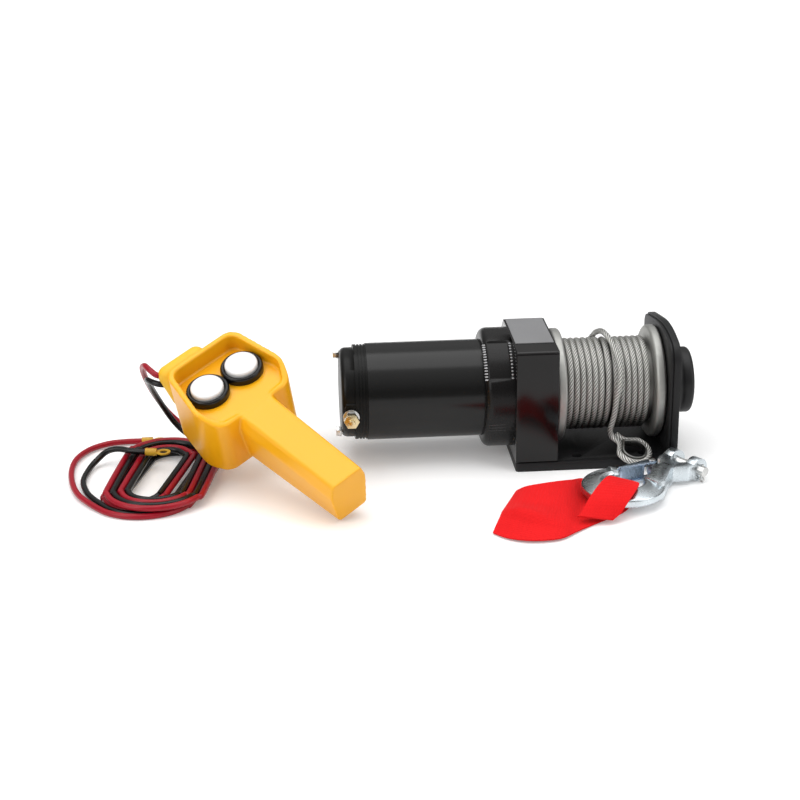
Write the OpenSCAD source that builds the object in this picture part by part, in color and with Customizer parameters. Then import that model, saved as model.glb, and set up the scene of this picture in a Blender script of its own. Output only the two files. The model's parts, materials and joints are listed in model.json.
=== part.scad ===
// Electric recovery winch with its hook, pull strap, wired hand control and battery leads.
// Millimetres. +Z is up, +X points from the motor to the clutch knob, the origin is the
// centre of the mounting holes on the underside of the base.

/* [Base and end plate] */
// Thickness of the base plate
base_t = 7; // [5:0.5:9]
// Reach of the base and the end plate past the gearbox, front and back
base_margin = 1; // [0:0.5:5]
// Distance between the mounting holes along the drum
mount_dx = 54; // [44:1:64]
// Distance of the mounting holes from the front and back edges of the base
mount_inset = 13; // [11:0.5:17]
// Diameter of the mounting holes
mount_d = 8.5; // [6:0.5:10]
// Height of the drum axis over the floor
axis_z = 53.5; // [53:0.1:56]
// Thickness of the outer layer of the end plate
plate_t = 5.3; // [4:0.1:8]
// Thickness of the inner layer of the end plate
liner_t = 2.3; // [1.5:0.1:4]
// Height of the corner over the top arc of the end plate
plate_h = 107.2; // [106:0.2:114]

/* [Drum and rope] */
// Length of the rope space between the flanges
drum_l = 71; // [68:0.5:90]
// Thickness of each drum flange
flange_t = 8; // [6:0.5:10]
// Radius of the drum flanges
flange_r = 45.5; // [42:0.5:46]
// Radius of the drum under the rope
tube_r = 22; // [20:0.5:26]
// Radius of the plain lower layers of rope
core_r = 32; // [28:0.5:34]
// Diameter of the wire rope
rope_d = 4.8; // [4:0.1:5]
// Turns of rope in the outer layer
rope_turns = 13; // [8:1:13]

/* [Gear train] */
// Gear module
gear_m = 1.25; // [1.2:0.05:1.25]
// Length of the planet gears in the first two stages
gear_l = 8; // [6:0.5:8]
// Length of the planet gears in the last stage
last_gear_l = 10; // [8:0.5:10]
// Thickness of the first two planet carriers
carrier_t = 4; // [3:0.5:4]
// Radius of the planet pins
planet_pin_r = 4; // [3:0.25:4.5]

/* [Gearbox] */
// Length of the square gearbox along the drum axis
box_l = 33.3; // [32:0.1:40]
// Depth of the gearbox, front to back
box_w = 104; // [100:1:104]
// Height of the flat top of the gearbox
box_h = 100; // [100:0.5:106]
// Length of the round gear housing beside the box
house_l = 23; // [20:0.5:25]
// Radius of the round gear housing
house_r = 48; // [45:0.5:50]

/* [Motor] */
// Length of the motor can
can_l = 92; // [80:1:110]
// Radius of the motor can
can_r = 39; // [38:0.5:41]
// Wall of the motor can
can_wall = 2.5; // [2:0.1:3]
// Length of the grooved band behind the can
band_l = 10; // [8:0.5:14]
// Length of the domed end of the motor
dome_l = 11; // [9:0.5:14]
// Radius of the domed end of the motor
dome_r = 36; // [34.5:0.5:37.5]

/* [Clutch knob] */
// Radius of the clutch knob
knob_r = 26.7; // [22:0.1:30]
// Thickness of the clutch knob
knob_t = 18; // [14:0.5:22]

/* [Hand control] */
// Depth of the head of the hand control
head_d = 47.5; // [42:0.5:50]
// Width of the head at its widest
head_w = 86.6; // [80:0.2:92]
// Length of the handle past the head
handle_l = 105; // [90:1:110]
// Wall of the hand control
shell_wall = 3; // [2:0.1:3.5]
// Distance between the two buttons
button_gap = 34; // [34:0.5:38]
// Radius of the button caps
button_r = 13; // [11:0.1:13.5]
// Travel of the buttons
button_travel = 3; // [2:0.1:3.2]

/* [Hook] */
// Inner radius of the hook
hook_r = 15.5; // [14:0.1:17]
// Width of the hook's bow, inside to outside
hook_w = 16.5; // [14:0.1:18]
// Thickness of the hook
hook_t = 15; // [12:0.1:16]
// Distance from the hook's centre to its pin
hook_reach = 69; // [66:0.5:74]
// Radius of the hook's pin
hook_pin_r = 3.9; // [3:0.1:4.5]

/* [Leads and strap] */
// Diameter of the battery leads
lead_d = 4.8; // [4:0.1:5]
// Thickness of the pull strap
strap_t = 1.8; // [1.2:0.1:2]

/* [Hidden] */

$fn = 64;
// Overrun of every cut
cut = 1;
// Radial clearance of a running fit
run_fit = 0.05;
// Clearance between pieces that move past each other
clear = 0.5;
// Facet count inside rounded shells
soft_fn = 32;
ring_fn = 16;
// Points on each rounded corner of an outline
corner_steps = 6;

// Stations along the drum axis
side_gap = 0.7;
x_flange = drum_l / 2 + flange_t;
x_liner = x_flange + side_gap;
x_plate = x_liner + liner_t;
x_out = x_plate + plate_t;
x_box1 = -x_flange - side_gap;
x_box0 = x_box1 - box_l;
x_house = x_box0 - house_l;
x_can = x_house - can_l;
x_band = x_can - band_l;
x_cap = x_band - dome_l;

// Base and fasteners
base_w = box_w + 2 * base_margin;
front_y = -base_w / 2;
mount_dy = base_w - 2 * mount_inset;
base_lip = 0.7;
base_corner_r = 3;
// Height of the gearbox case where its rear slope starts, and its flat top from the middle
box_side_share = 0.8;
box_top_share = 0.3;
plate_corner_r = 9;
plate_front_r = 16;
plate_top_r = 120;
plate_slope = 11.7;
plate_front_slope = 9.2;
plate_peak_share = 0.387;
plate_hole_r = 2.2;
plate_hole_inset = 12;
liner_inset = 1.2;
screw_r = 2;
screw_head_r = 3.6;
screw_head_h = 3.2;
screw_l = 16;
screw_inset = 5.5;

// Gears
pressure_angle = 25;
addendum_share = 0.8;
dedendum_share = 1.0;
tooth_thin = 0.12;
flank_points = 5;
ring_teeth = 60;
sun_teeth = 12;
planet_teeth = 24;
last_sun_teeth = 18;
last_planet_teeth = 21;
stage_gap = 0.5;
last_carrier_t = 6;
flange_plate_t = 4;
ring_wall = 5.2;
ring_root_r = gear_m * (ring_teeth / 2 + dedendum_share);
spigot_r = ring_root_r + ring_wall;
arm_r = gear_m * (sun_teeth + planet_teeth) / 2;
last_arm_r = gear_m * (last_sun_teeth + last_planet_teeth) / 2;
carrier_rim = 4;
carrier_r = last_arm_r + planet_pin_r + carrier_rim;
x_gear1 = x_house + flange_plate_t + stage_gap;
x_carrier1 = x_gear1 + gear_l + stage_gap;
x_gear2 = x_carrier1 + carrier_t + stage_gap;
x_carrier2 = x_gear2 + gear_l + stage_gap;
x_gear3 = x_carrier2 + carrier_t + stage_gap;
x_carrier3 = x_gear3 + last_gear_l + stage_gap;
x_ring_end = x_carrier3 + 2 * stage_gap;
housing_round = 6;
window_depth = 0.6;
window_w = 16;
window_angle = 42;
window_turn = -158;

// Drum
hub_r = 14;
journal_r = 12;
bush_wall = 3;
box_wall = 5;
bore_r = 8.5;
tube_seat = 6;
flange_rim_w = 6;
flange_dish = 1.5;
rope_clear = 0.3;
rope_gap = 2;
rope_sag = 0.5;
rope_rings = 24;
rope_sides = 6;
rope_path_r = core_r + rope_d / 2 + rope_sag;

// Motor
shaft_r = 5;
pivot_r = 4;
magnet_t = 6.5;
magnet_inset = 3;
magnet_angle = 124;
air_gap = 0.8;
slot_count = 12;
slot_w = 3;
slot_d = 8;
winding_l = 8;
commutator_r = 13;
commutator_l = 12;
brush_w = 7;
brush_t = 3;
cap_wall = 4;
cap_round = 5;
groove_w = 1.2;
groove_d = 0.8;
tie_y = 17;
tie_z = 27;
tie_r = 2.3;
tie_head_r = 4.2;
tie_head_h = 4.4;
// Turn of the magnets that lets the tie bolts pass between them
magnet_turn = atan2(tie_y, -tie_z) + (180 - magnet_angle) / 2;
boss_w = 16;
boss_h = 20;
boss_y = 37;
terminal_x = 7;
terminal_z = 7.5;
stud_r = 2.5;
stud_root = 5;
stud_free = 4;
stud_l = 20;
washer_r = 6.5;
washer_t = 1.2;
nut_r = 5.6;
nut_h = 4.5;
lock_nut_r = 6.2;
lock_nut_h = 5;

// Clutch
clutch_r = 5;
collar_r = bore_r - run_fit * 2;
collar_l = 4;
collar_x = 4;
bore_end = 5;
knob_gap = 0.7;
knob_waist = 1;
knob_waist_shares = [0.25, 0.45, 0.6];
knob_round = 3;
knob_dish = 2;
knob_boss_r = 9;
wire_r = 0.8;
spring_r = 6.9;
spring_curls = 5;
spring_end = 0.4;

// Hand control: where it lies and how it is turned
hand_at = [-303.5, -36, 79];
hand_turn = [20.7, 14.2, -50.9];
head_back = 31;
head_bend = 19.3;
head_front = 38;
head_back_share = 0.785;
head_front_share = 0.8;
rim_back = 14.9;
rim_bend = 8.7;
head_corner_r = 12;
tray_wall = 4.3;
split_n = 20;
handle_top_w = 30.8;
handle_end_w = 27.8;
handle_bulge = 3.2;
handle_shoulder = 11;
handle_root_d = 46;
handle_end_d = 38;
handle_drop = 4;
handle_under_share = 0.8;
boot_w = 4;
boot_h = 6.2;
boot_lean = 1.3;
cap_gap = 0.4;
cap_top = 9;
cap_crown = 1.5;
cap_edge_shares = [0.94, 0.8];
cap_skirt = 5;
stem_r = 4;
contact_gap = 0.5;
contact_h = 9;
contact_w = 26;
post_r = 4;
post_screw_r = 1.5;
post_head_r = 3;
post_head_h = 2.5;
post_u_share = 0.62;
post_v_share = 0.62;
boss_out = 9;
boss_r = 8;
boss_v0 = 26;
boss_v1 = 2;
boss_lift = 1;
boss_sink = 14;

// Hook: where it lies and its own sizes
hook_front = 59;
hook_at = [-3.5, front_y - hook_front, 9.6];
hook_turn = 35;
hook_rim_t = 6;
hook_start_angle = 70;
hook_end_angle = 332;
tip_r = 7.2;
tip_l = 6;
tip_end_share = 0.8;
// Corners of the shank: heel, back, latch seat, throat and inner corner
heel_shares = [0.9, 0.86];
back_share = 0.62;
latch_seat_share = 0.3;
throat_shares = [1.5, 0.35];
inner_shares = [0.95, 0.55];
shank_w = 18;
fork_w = 31;
fork_gap = 15;
fork_depth = 12.5;
fork_root = 10;
fork_r = 5;
arm_t = 12;
ear_r = 9;
latch_u = 42.5;
latch_v = 10.5;
latch_tip_u = 13.4;
latch_tip_v = 17.8;
latch_w = 14;
latch_t = 1.2;
latch_h = 7;
latch_nose = 3;
// Where the web of the latch starts, clear of the lug
web_x = 5;
lug_t = 5;
rivet_r = 1.6;
rivet_head_share = 1.7;
lug_share = 2.4;
pocket_share = 5.4;
latch_coil_share = 0.6;
latch_wire_r = 0.35;
latch_curls = 2;
cotter_r = 1;
cotter_ring_share = 0.7;
pin_head_share = 1.5;

// Thimble: its point, its round end and its sizes
eye_inside = 17;
eye_outside = 7;
thimble_point = [4, front_y + eye_inside, 21];
thimble_end = [27, front_y - eye_outside, 7.2];
thimble_tilt_angle = 11;
thimble_r = 9;
thimble_w = 6;
thimble_wall = 1.2;
thimble_neck = 8;
// Spread of the two ropes at the start of the eye and at its neck
eye_start_share = 0.55;
eye_neck_share = 0.62;

// Leads
hank_at = [-358.5, -41];
hank_turn = 75;
hank_r = 42;
hank_half = 32;
hank_start = 9;
// How the upper loops lie over the lower ones
hank_twist_angle = 6;
hank_shift = [1.9, -0.5];
hank_lift = 0.6;
hank_loops = 2;
hank_rings = 24;
strand_gap = 0.5;
strand_step = lead_d + strand_gap;
lead_sides = 8;
coil_sides = 6;
floor_gap = 0.1;
terminal_ring_r = 5.5;
terminal_hole_r = 3.2;
terminal_t = 1;
terminal_barrel = 9;
terminal_sleeve = 0.7;

// Routes of the free stretches, chosen by hand
rope_route = [[-19, 10.7, 13.7], [-17, 27.6, 22.9], [-14.5, 38.2, 38.1], [-11, 41.1, 56.4], [-7, 35.7, 74.1],
    [-3.5, 24.2, 86.8], [-2.5, 16, 91.5], [-1.2, 8, 94.8], [0, 0, 96.2], [2, -8, 95], [4.2, -16, 91.2],
    [6, -24, 86], [7.2, -31, 79.6], [7.4, -36, 72], [6, -39.4, 63], [4, -40.5, 54], [3, -40.5, 44],
    [1.5, -39.8, 35], [0, -38, 27]];
red_route = [[-332, 34, 9], [-343, 44, 13], [-355, 46, 25], [-364, 39, 43], [-369, 24, 62], [-370, 6, 78],
    [-367, -8, 85], [-363, -16, 84.5], [-357.5, -20.5, 81.5], [-352, -21, 80.6]];
black_route = [[-334.5, 28, 9], [-342, 34.5, 11.5], [-350.5, 37.5, 20.5], [-359, 32, 38], [-364, 18, 55], [-366, 2, 68],
    [-365.5, -9, 73.5], [-362, -16.5, 74.5], [-356.5, -20.5, 74], [-351, -21, 73.4]];
red_end_route = [[-372, 36, 3.3], [-379, 36, 3.3], [-390, 36, 3.3], [-404, 33, 3.3], [-418, 22, 3.3],
    [-427, 3, 3.3], [-429, -21, 3.3], [-426, -47, 3.3], [-420, -68, 3.3], [-411, -84, 3.3]];
black_end_route = [[-366, -14, 14], [-373, -13, 14], [-382, -10, 14], [-393, -4, 13.6], [-402, -2, 11],
    [-409, -6, 6.5], [-415, -18, 3.5], [-418, -42, 3.3], [-414, -63, 3.3], [-408.5, -76, 3.3],
    [-402, -86.5, 3.3]];
// Edges of the strap behind the front edge of the base, far side then near side, and the way
// its thickness goes
strap_body = [
    [[-84.8, -53.9, 8], [-110.4, -111.8, 1.2], [0, 0, 1]],
    [[-77.9, -55.7, 12], [-101.5, -122.2, 1.8], [0, 0, 1]],
    [[-66.5, -56.2, 14], [-89.3, -128.9, 2.4], [0, 0, 1]],
    [[-53.2, -50.7, 13], [-74.9, -130.4, 2.4], [0, 0, 1]],
    [[-40.5, -39.8, 9], [-61.1, -127.2, 2.2], [0, 0, 1]],
    [[-27.6, -21.3, 1.2], [-48.2, -116.1, 1.8], [0, 0, 1]],
    [[-22, -39, 1], [-31, -102, 1], [0, 0, 1]],
    [[-15, -46, 1], [-9, -86, 1], [0, 0, 1]],
    [[-12, -53, 1], [1, -71, 1], [0, 0, 1]]];
strap_flap = [
    [[-12, -56, 2.5], [1.5, -69, 2.5], [-0.5, -0.6, 0.6]],
    [[-12, -56, 7], [2, -68.5, 7], [-0.6, -0.8, 0]],
    [[-12, -56, 14], [2, -68.5, 14], [-0.6, -0.8, 0]],
    [[-13, -57, 18], [3, -70, 18], [-0.5, -0.6, -0.6]],
    [[-17, -61, 19.4], [5, -76, 19.4], [0, 0, -1]],
    [[-25, -73, 19], [1, -85, 19], [0, 0, -1]],
    [[-36, -90, 15], [-6, -94, 14.5], [0, 0, -1]],
    [[-43, -100, 9.4], [-13, -100, 7.4], [0, 0, -1]],
    [[-47, -105, 8.4], [-20, -104, 3.4], [0, 0, -1]]];
strap_points = 7;
strap_crown = 1.6;
// Thickness of the strap at its edges over that at its middle
strap_edge_share = 0.8;

// Unit vector along v
function unit(v) = v / norm(v);

// Point in polar form
function polar(r, a) = [r * cos(a), r * sin(a)];

// Straight blend of two values
function mix(a, b, t) = a + (b - a) * t;

// Arc that rounds the corner b of the line a-b-c with radius r
function corner(a, b, c, r) =
    let(
        u = unit(a - b),
        v = unit(c - b),
        half = acos(u * v) / 2,
        centre = b + unit(u + v) * r / sin(half),
        p = b + u * r / tan(half) - centre,
        q = b + v * r / tan(half) - centre,
        a0 = atan2(p[1], p[0]),
        swing = atan2(q[1], q[0]) - a0,
        turn = swing > 180 ? swing - 360 : swing < -180 ? swing + 360 : swing
    )
    [for (i = [0:corner_steps]) centre + polar(r, a0 + turn * i / corner_steps)];

// Closed outline with each corner rounded by its own radius, as [[x, y], radius]
function rounded(spots) =
    let(n = len(spots))
    [for (i = [0:n - 1])
        each spots[i][1] > 0
            ? corner(spots[(i + n - 1) % n][0], spots[i][0], spots[(i + 1) % n][0], spots[i][1])
            : [spots[i][0]]];

// Involute roll angle at radius r over the base circle rb, in degrees
function roll(r, rb) = let(t = sqrt(max(pow(r / rb, 2) - 1, 0))) t * 180 / PI - atan(t);

// Outline of a gear whose teeth run from radius low to radius high; grow thickens each tooth
function gear_outline(teeth, low, high, grow) =
    let(
        pitch_r = gear_m * teeth / 2,
        base_r = pitch_r * cos(pressure_angle),
        half = 90 / teeth + grow / 2 / pitch_r * 180 / PI + roll(pitch_r, base_r),
        radii = [for (i = [0:flank_points - 1]) mix(low, high, i / (flank_points - 1))]
    )
    [for (i = [0:teeth - 1])
        let(mid = i * 360 / teeth)
        each concat(
            [for (r = radii) polar(r, mid - half + roll(r, base_r))],
            [for (k = [flank_points - 1:-1:0]) polar(radii[k], mid + half - roll(radii[k], base_r))])];

// Frame carried along a path without twist, as [side, up] at each point
function tangents(p) =
    let(n = len(p))
    [for (i = [0:n - 1]) unit(p[min(i + 1, n - 1)] - p[max(i - 1, 0)])];

function sides_of(p, first) =
    let(t = tangents(p), start = first - t[0] * (first * t[0]))
    [for (i = 0, s = unit(start); i < len(p);
        i = i + 1, s = i < len(p) ? unit(s - t[i] * (s * t[i])) : s) s];

// Rings of a round tube of radius r along the path p
function tube_rings(p, r, count, first) =
    let(t = tangents(p), s = sides_of(p, first))
    [for (i = [0:len(p) - 1])
        [for (k = [0:count - 1])
            let(a = 360 * (k + 1 / 2) / count)
            p[i] + s[i] * r * cos(a) + cross(t[i], s[i]) * r * sin(a)]];

// Smooth path through hand-chosen points, with n pieces between each pair
function smooth(p, n) =
    let(last = len(p) - 1)
    [for (i = [0:last - 1])
        for (k = [0:i == last - 1 ? n : n - 1])
            let(
                a = p[max(i - 1, 0)],
                b = p[i],
                c = p[i + 1],
                d = p[min(i + 2, last)],
                t = k / n
            )
            (2 * b + (c - a) * t + (2 * a - 5 * b + 4 * c - d) * t * t
                + (3 * b - a - 3 * c + d) * t * t * t) / 2];

// Least gap between parts of one tube that are more than skip points apart
function self_gap(p, d, skip) =
    min([for (i = [0:len(p) - skip - 1]) for (j = [i + skip:len(p) - 1]) norm(p[i] - p[j])]) - d;

// Closed skin over a list of rings with equal numbers of points
module skin(rings) {
    n = len(rings[0]);
    last = len(rings) - 1;
    polyhedron(
        points = [for (ring = rings) each ring],
        faces = concat(
            [[for (k = [n - 1:-1:0]) k]],
            [[for (k = [0:n - 1]) last * n + k]],
            [for (i = [0:last - 1]) for (k = [0:n - 1]) [i * n + k, i * n + (k + 1) % n, (i + 1) * n + k]],
            [for (i = [0:last - 1]) for (k = [0:n - 1])
                [i * n + (k + 1) % n, (i + 1) * n + (k + 1) % n, (i + 1) * n + k]]));
}

// Puts a piece drawn along Z on the drum axis, starting at x
module on_axis(x) {
    translate([x, 0, axis_z]) rotate([0, 90, 0]) children();
}

module disc(x0, x1, r) {
    on_axis(x0) cylinder(r = r, h = x1 - x0);
}

// Revolves an outline given as [x, radius] about the drum axis
module turned(spots) {
    on_axis(0) rotate_extrude() polygon([for (s = spots) [s[1], s[0]]]);
}

module cap_screw(l, r, head_r, head_h) {
    cylinder(r = r, h = l);
    translate([0, 0, -head_h]) cylinder(r = head_r, h = head_h);
}

// Places of the screws that hold the box and the end plate on the base
module at_frame_screws() {
    for (side = [-1, 1]) {
        for (x = [x_box0 + screw_inset, x_box1 - screw_inset])
            translate([x, side * (box_w / 2 - screw_inset), 0]) children();
        translate([(x_plate + x_out) / 2, side * (base_w / 2 - plate_hole_inset), 0]) children();
    }
}

module base_frame() {
    color("#17181a") difference() {
        linear_extrude(base_t) polygon(rounded([
            [[x_box0, -base_w / 2], base_corner_r],
            [[x_out + base_lip, -base_w / 2], base_corner_r],
            [[x_out + base_lip, base_w / 2], base_corner_r],
            [[x_box0, base_w / 2], base_corner_r]]));
        for (x = [-1, 1])
            for (y = [-1, 1])
                translate([x * mount_dx / 2, y * mount_dy / 2, -cut]) cylinder(d = mount_d, h = base_t + 2 * cut);
        at_frame_screws() {
            translate([0, 0, -cut]) cylinder(r = screw_r + run_fit, h = base_t + 2 * cut);
            translate([0, 0, -cut]) cylinder(r = screw_head_r + clear, h = screw_head_h + cut);
        }
    }
}

module frame_screws() {
    color("#2a2c30") at_frame_screws() translate([0, 0, screw_head_h])
        cap_screw(screw_l - screw_head_h, screw_r, screw_head_r, screw_head_h - run_fit);
}

// Outline of the end plate in Y and Z, drawn in by inset
function plate_outline(inset) =
    let(half = base_w / 2 - inset, top = plate_h - inset)
    rounded([
        [[-half, base_t], 0],
        [[half, base_t], 0],
        [[half, top - plate_slope], plate_corner_r],
        [[mix(-half, half, plate_peak_share), top], plate_top_r],
        [[-half, top - plate_front_slope], plate_front_r]]);

module plate_slab(x0, x1, inset) {
    translate([x0, 0, 0]) rotate([90, 0, 90]) linear_extrude(x1 - x0) polygon(plate_outline(inset));
}

module end_plate() {
    color("#141517") difference() {
        plate_slab(x_plate, x_out, 0);
        disc(x_plate - cut, x_out + cut, journal_r + bush_wall);
        translate([x_plate - cut, base_w / 2 - plate_corner_r, plate_h - plate_slope - plate_corner_r])
            rotate([0, 90, 0]) cylinder(r = plate_hole_r, h = plate_t + 2 * cut);
        at_frame_screws() cylinder(r = screw_r + run_fit, h = screw_l + cut);
    }
}

module end_liner() {
    color("#1e2023") difference() {
        plate_slab(x_liner, x_plate, liner_inset);
        disc(x_liner - cut, x_plate + cut, journal_r + bush_wall);
    }
}

// Outline of the gearbox in Y and Z
function box_outline() = rounded([
    [[-box_w / 2, base_t], 0],
    [[box_w / 2, base_t], 0],
    [[box_w / 2, box_h * box_side_share], base_corner_r],
    [[box_w * box_top_share, box_h], base_corner_r],
    [[-box_w / 2, box_h], base_corner_r]]);

module gearbox_cover() {
    color("#121214") difference() {
        translate([x_box0, 0, 0]) rotate([90, 0, 90]) linear_extrude(box_l) polygon(box_outline());
        disc(x_box0 - cut, x_ring_end + run_fit, spigot_r + run_fit);
        disc(x_box0 - cut, x_box1 - box_wall, carrier_r + 2 * clear);
        disc(x_box0 - cut, x_box1 + cut, hub_r + bush_wall);
        at_frame_screws() cylinder(r = screw_r + run_fit, h = screw_l + cut);
        translate([x_box0 - cut, -box_w / 2 + screw_inset * 2, base_t + screw_l])
            rotate([0, 90, 0]) cylinder(r = screw_r, h = base_t + cut);
    }
}

top_plate_t = 0.6;
top_plate_edge = 1.5;

module top_plate() {
    color("#6f7174") translate([x_box0 + top_plate_edge, -box_w * box_top_share, box_h])
        cube([box_l - 2 * top_plate_edge, 2 * box_w * box_top_share - top_plate_edge, top_plate_t]);
}

module ring_gear() {
    color("#101113") difference() {
        union() {
            turned([
                [x_house, 0],
                [x_house, house_r - housing_round],
                each [for (i = [1:corner_steps])
                    let(a = 90 * i / corner_steps)
                    [x_house + housing_round * (1 - cos(a)), house_r - housing_round * (1 - sin(a))]],
                [x_box0, house_r],
                [x_box0, 0]]);
            disc(x_box0, x_ring_end, spigot_r);
        }
        disc(x_house - cut, x_house + flange_plate_t, can_r + run_fit);
        on_axis(x_house) linear_extrude(x_ring_end - x_house + cut)
            polygon(gear_outline(ring_teeth, ring_root_r - gear_m * (addendum_share + dedendum_share),
                ring_root_r, tooth_thin));
        on_axis(x_house + (house_l - window_w) / 2) rotate([0, 0, window_turn])
            rotate_extrude(angle = window_angle)
                translate([house_r - window_depth, 0]) square([window_depth + cut, window_w]);
    }
}

module motor_flange() {
    color("#3b3d40") difference() {
        disc(x_house, x_house + flange_plate_t, can_r);
        disc(x_house - cut, x_house + flange_plate_t + cut, shaft_r + run_fit);
        at_tie_bolts(x_house - cut) cylinder(r = tie_r + run_fit, h = flange_plate_t + 2 * cut);
    }
}

module at_tie_bolts(x) {
    for (s = [-1, 1])
        translate([x, s * tie_y, axis_z + s * tie_z]) rotate([0, 90, 0]) children();
}

module motor_can() {
    color("#0d0e10") difference() {
        disc(x_can, x_house, can_r);
        disc(x_can - cut, x_house + cut, can_r - can_wall);
    }
}

module field_magnets() {
    color("#45484c") for (turn = [0, 180])
        on_axis(x_can + magnet_inset) rotate([0, 0, turn + magnet_turn])
            rotate_extrude(angle = magnet_angle)
                translate([can_r - can_wall - run_fit - magnet_t, 0])
                    square([magnet_t, can_l - 2 * magnet_inset]);
}

rotor_r = can_r - can_wall - magnet_t - air_gap;
x_rotor0 = x_can + magnet_inset + winding_l;
x_rotor1 = x_house - magnet_inset - winding_l;
x_comm = x_rotor0 - winding_l - commutator_l;

module armature() {
    color("#8d6a3f") {
        difference() {
            disc(x_rotor0, x_rotor1, rotor_r);
            for (i = [0:slot_count - 1])
                on_axis(x_rotor0 - cut) rotate([0, 0, 360 * i / slot_count])
                    translate([rotor_r - slot_d, -slot_w / 2, 0])
                        cube([slot_d + cut, slot_w, x_rotor1 - x_rotor0 + 2 * cut]);
        }
        turned([
            [x_rotor0 - winding_l, 0],
            [x_rotor0 - winding_l, commutator_r + brush_t],
            [x_rotor0, rotor_r - slot_d],
            [x_rotor1, rotor_r - slot_d],
            [x_rotor1 + winding_l, commutator_r + brush_t],
            [x_rotor1 + winding_l, 0]]);
        disc(x_comm, x_rotor0 - winding_l, commutator_r);
        disc(x_cap + cap_wall + clear, x_comm, pivot_r);
        disc(x_rotor1 + winding_l, x_gear1, shaft_r);
        on_axis(x_gear1) rotate([0, 0, sun_turn]) linear_extrude(gear_l) polygon(sun_outline(sun_teeth));
    }
}

module brush_gear() {
    color("#b08d57") difference() {
        union() {
            on_axis(x_comm) difference() {
                cylinder(r = cap_inner_r - run_fit, h = brush_t);
                translate([0, 0, -cut]) cylinder(r = commutator_r + brush_t, h = brush_t + 2 * cut);
            }
            for (turn = [0, 180])
                on_axis(x_comm) rotate([0, 0, turn + magnet_turn])
                    translate([commutator_r + rope_clear, -brush_w / 2, 0])
                        cube([cap_inner_r - 2 * magnet_t / 3 - commutator_r, brush_w, commutator_l - clear]);
        }
        at_tie_bolts(x_comm - cut) cylinder(r = tie_r + clear, h = commutator_l + 2 * cut);
        disc(x_comm - cut, x_rotor0, commutator_r + rope_clear);
    }
}

cap_inner_r = can_r - can_wall - cap_wall;

module end_cap() {
    color("#0c0d0f") difference() {
        union() {
            turned([
                [x_cap, 0],
                [x_cap, dome_r - cap_round],
                each [for (i = [1:corner_steps])
                    let(a = 90 * i / corner_steps)
                    [x_cap + cap_round * (1 - cos(a)), dome_r - cap_round * (1 - sin(a))]],
                [x_band, dome_r],
                [x_band, can_r - groove_d],
                [x_band + groove_w, can_r - groove_d],
                each [for (i = [1:3])
                    let(x = x_band + band_l * i / 4)
                    each [[x, can_r - groove_d], [x, can_r - 2 * groove_d],
                        [x + groove_w, can_r - 2 * groove_d], [x + groove_w, can_r - groove_d]]],
                [x_can, can_r - groove_d],
                [x_can, 0]]);
            for (side = [-1, 1]) terminal_boss(side);
        }
        disc(x_cap + cap_wall, x_can + cut, cap_inner_r);
        at_tie_bolts(x_cap - cut) cylinder(r = tie_r + run_fit, h = dome_l + band_l + 2 * cut);
        for (side = [-1, 1]) {
            at_terminal(side, -stud_root - clear) cylinder(r = stud_r + run_fit, h = stud_root + clear + cut);
            at_terminal(side, 0) cylinder(r = washer_r + clear, h = stud_l);
        }
    }
    color("#0c0d0f") on_axis(x_cap + cap_wall) difference() {
        cylinder(r = pivot_r + cap_wall, h = cap_wall);
        cylinder(r = pivot_r + run_fit, h = cap_wall + cut);
    }
}

module terminal_boss(side) {
    intersection() {
        translate([x_cap + cap_round / 2, side * boss_y, axis_z + side * terminal_z]) rotate([side * 90, 0, 0])
            linear_extrude(boss_y / 2) polygon(rounded([
                [[0, -boss_h / 2], cap_round / 2],
                [[boss_w - cap_round, -boss_h / 2], cap_round / 2],
                [[boss_w - cap_round, boss_h / 2], cap_round / 2],
                [[0, boss_h / 2], cap_round / 2]]));
        disc(x_cap, x_band, can_r);
    }
}

module tie_bolts() {
    color("#b4b6b8") {
        at_tie_bolts(x_cap) cylinder(r = tie_r, h = x_house + flange_plate_t - x_cap);
        at_tie_bolts(x_cap - tie_head_h) cylinder(r = tie_head_r, h = tie_head_h, $fn = 6);
    }
}

// Turns a piece drawn along Z so that it stands out of the front or back terminal boss; the
// front one sits under the axis and the back one over it
module at_terminal(side, out) {
    translate([x_cap + terminal_x, side * (boss_y + out), axis_z + side * terminal_z])
        rotate([-side * 90, 0, 0]) children();
}

module terminal_studs() {
    color("#c9a24b") for (side = [-1, 1]) {
        at_terminal(side, -stud_root) cylinder(r = stud_r, h = stud_root + washer_t + nut_h + lock_nut_h + stud_free);
        at_terminal(side, washer_t + nut_h + run_fit) cylinder(r = lock_nut_r, h = lock_nut_h, $fn = 6);
    }
}

module terminal_nuts() {
    color("#c4c6c8") for (side = [-1, 1]) difference() {
        union() {
            at_terminal(side, 0) cylinder(r = washer_r, h = washer_t);
            at_terminal(side, washer_t) cylinder(r = nut_r, h = nut_h, $fn = 6);
        }
        at_terminal(side, -cut) cylinder(r = stud_r + run_fit, h = washer_t + nut_h + 2 * cut);
    }
}

// Turn that sets a tooth gap of the first suns against the tooth of each planet
sun_turn = 180 / sun_teeth;
planet_count = 3;

function sun_outline(teeth) =
    gear_outline(teeth, gear_m * (teeth / 2 - dedendum_share), gear_m * (teeth / 2 + addendum_share),
        -tooth_thin);

// One planet gear at its place among three; the first of each set stands below the axis
module planet(x, l, arm, teeth, place) {
    color("#9a9da1") on_axis(x) rotate([0, 0, 360 * place / planet_count]) translate([arm, 0, 0]) linear_extrude(l) difference() {
        polygon(sun_outline(teeth));
        circle(r = planet_pin_r + run_fit);
    }
}

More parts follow.
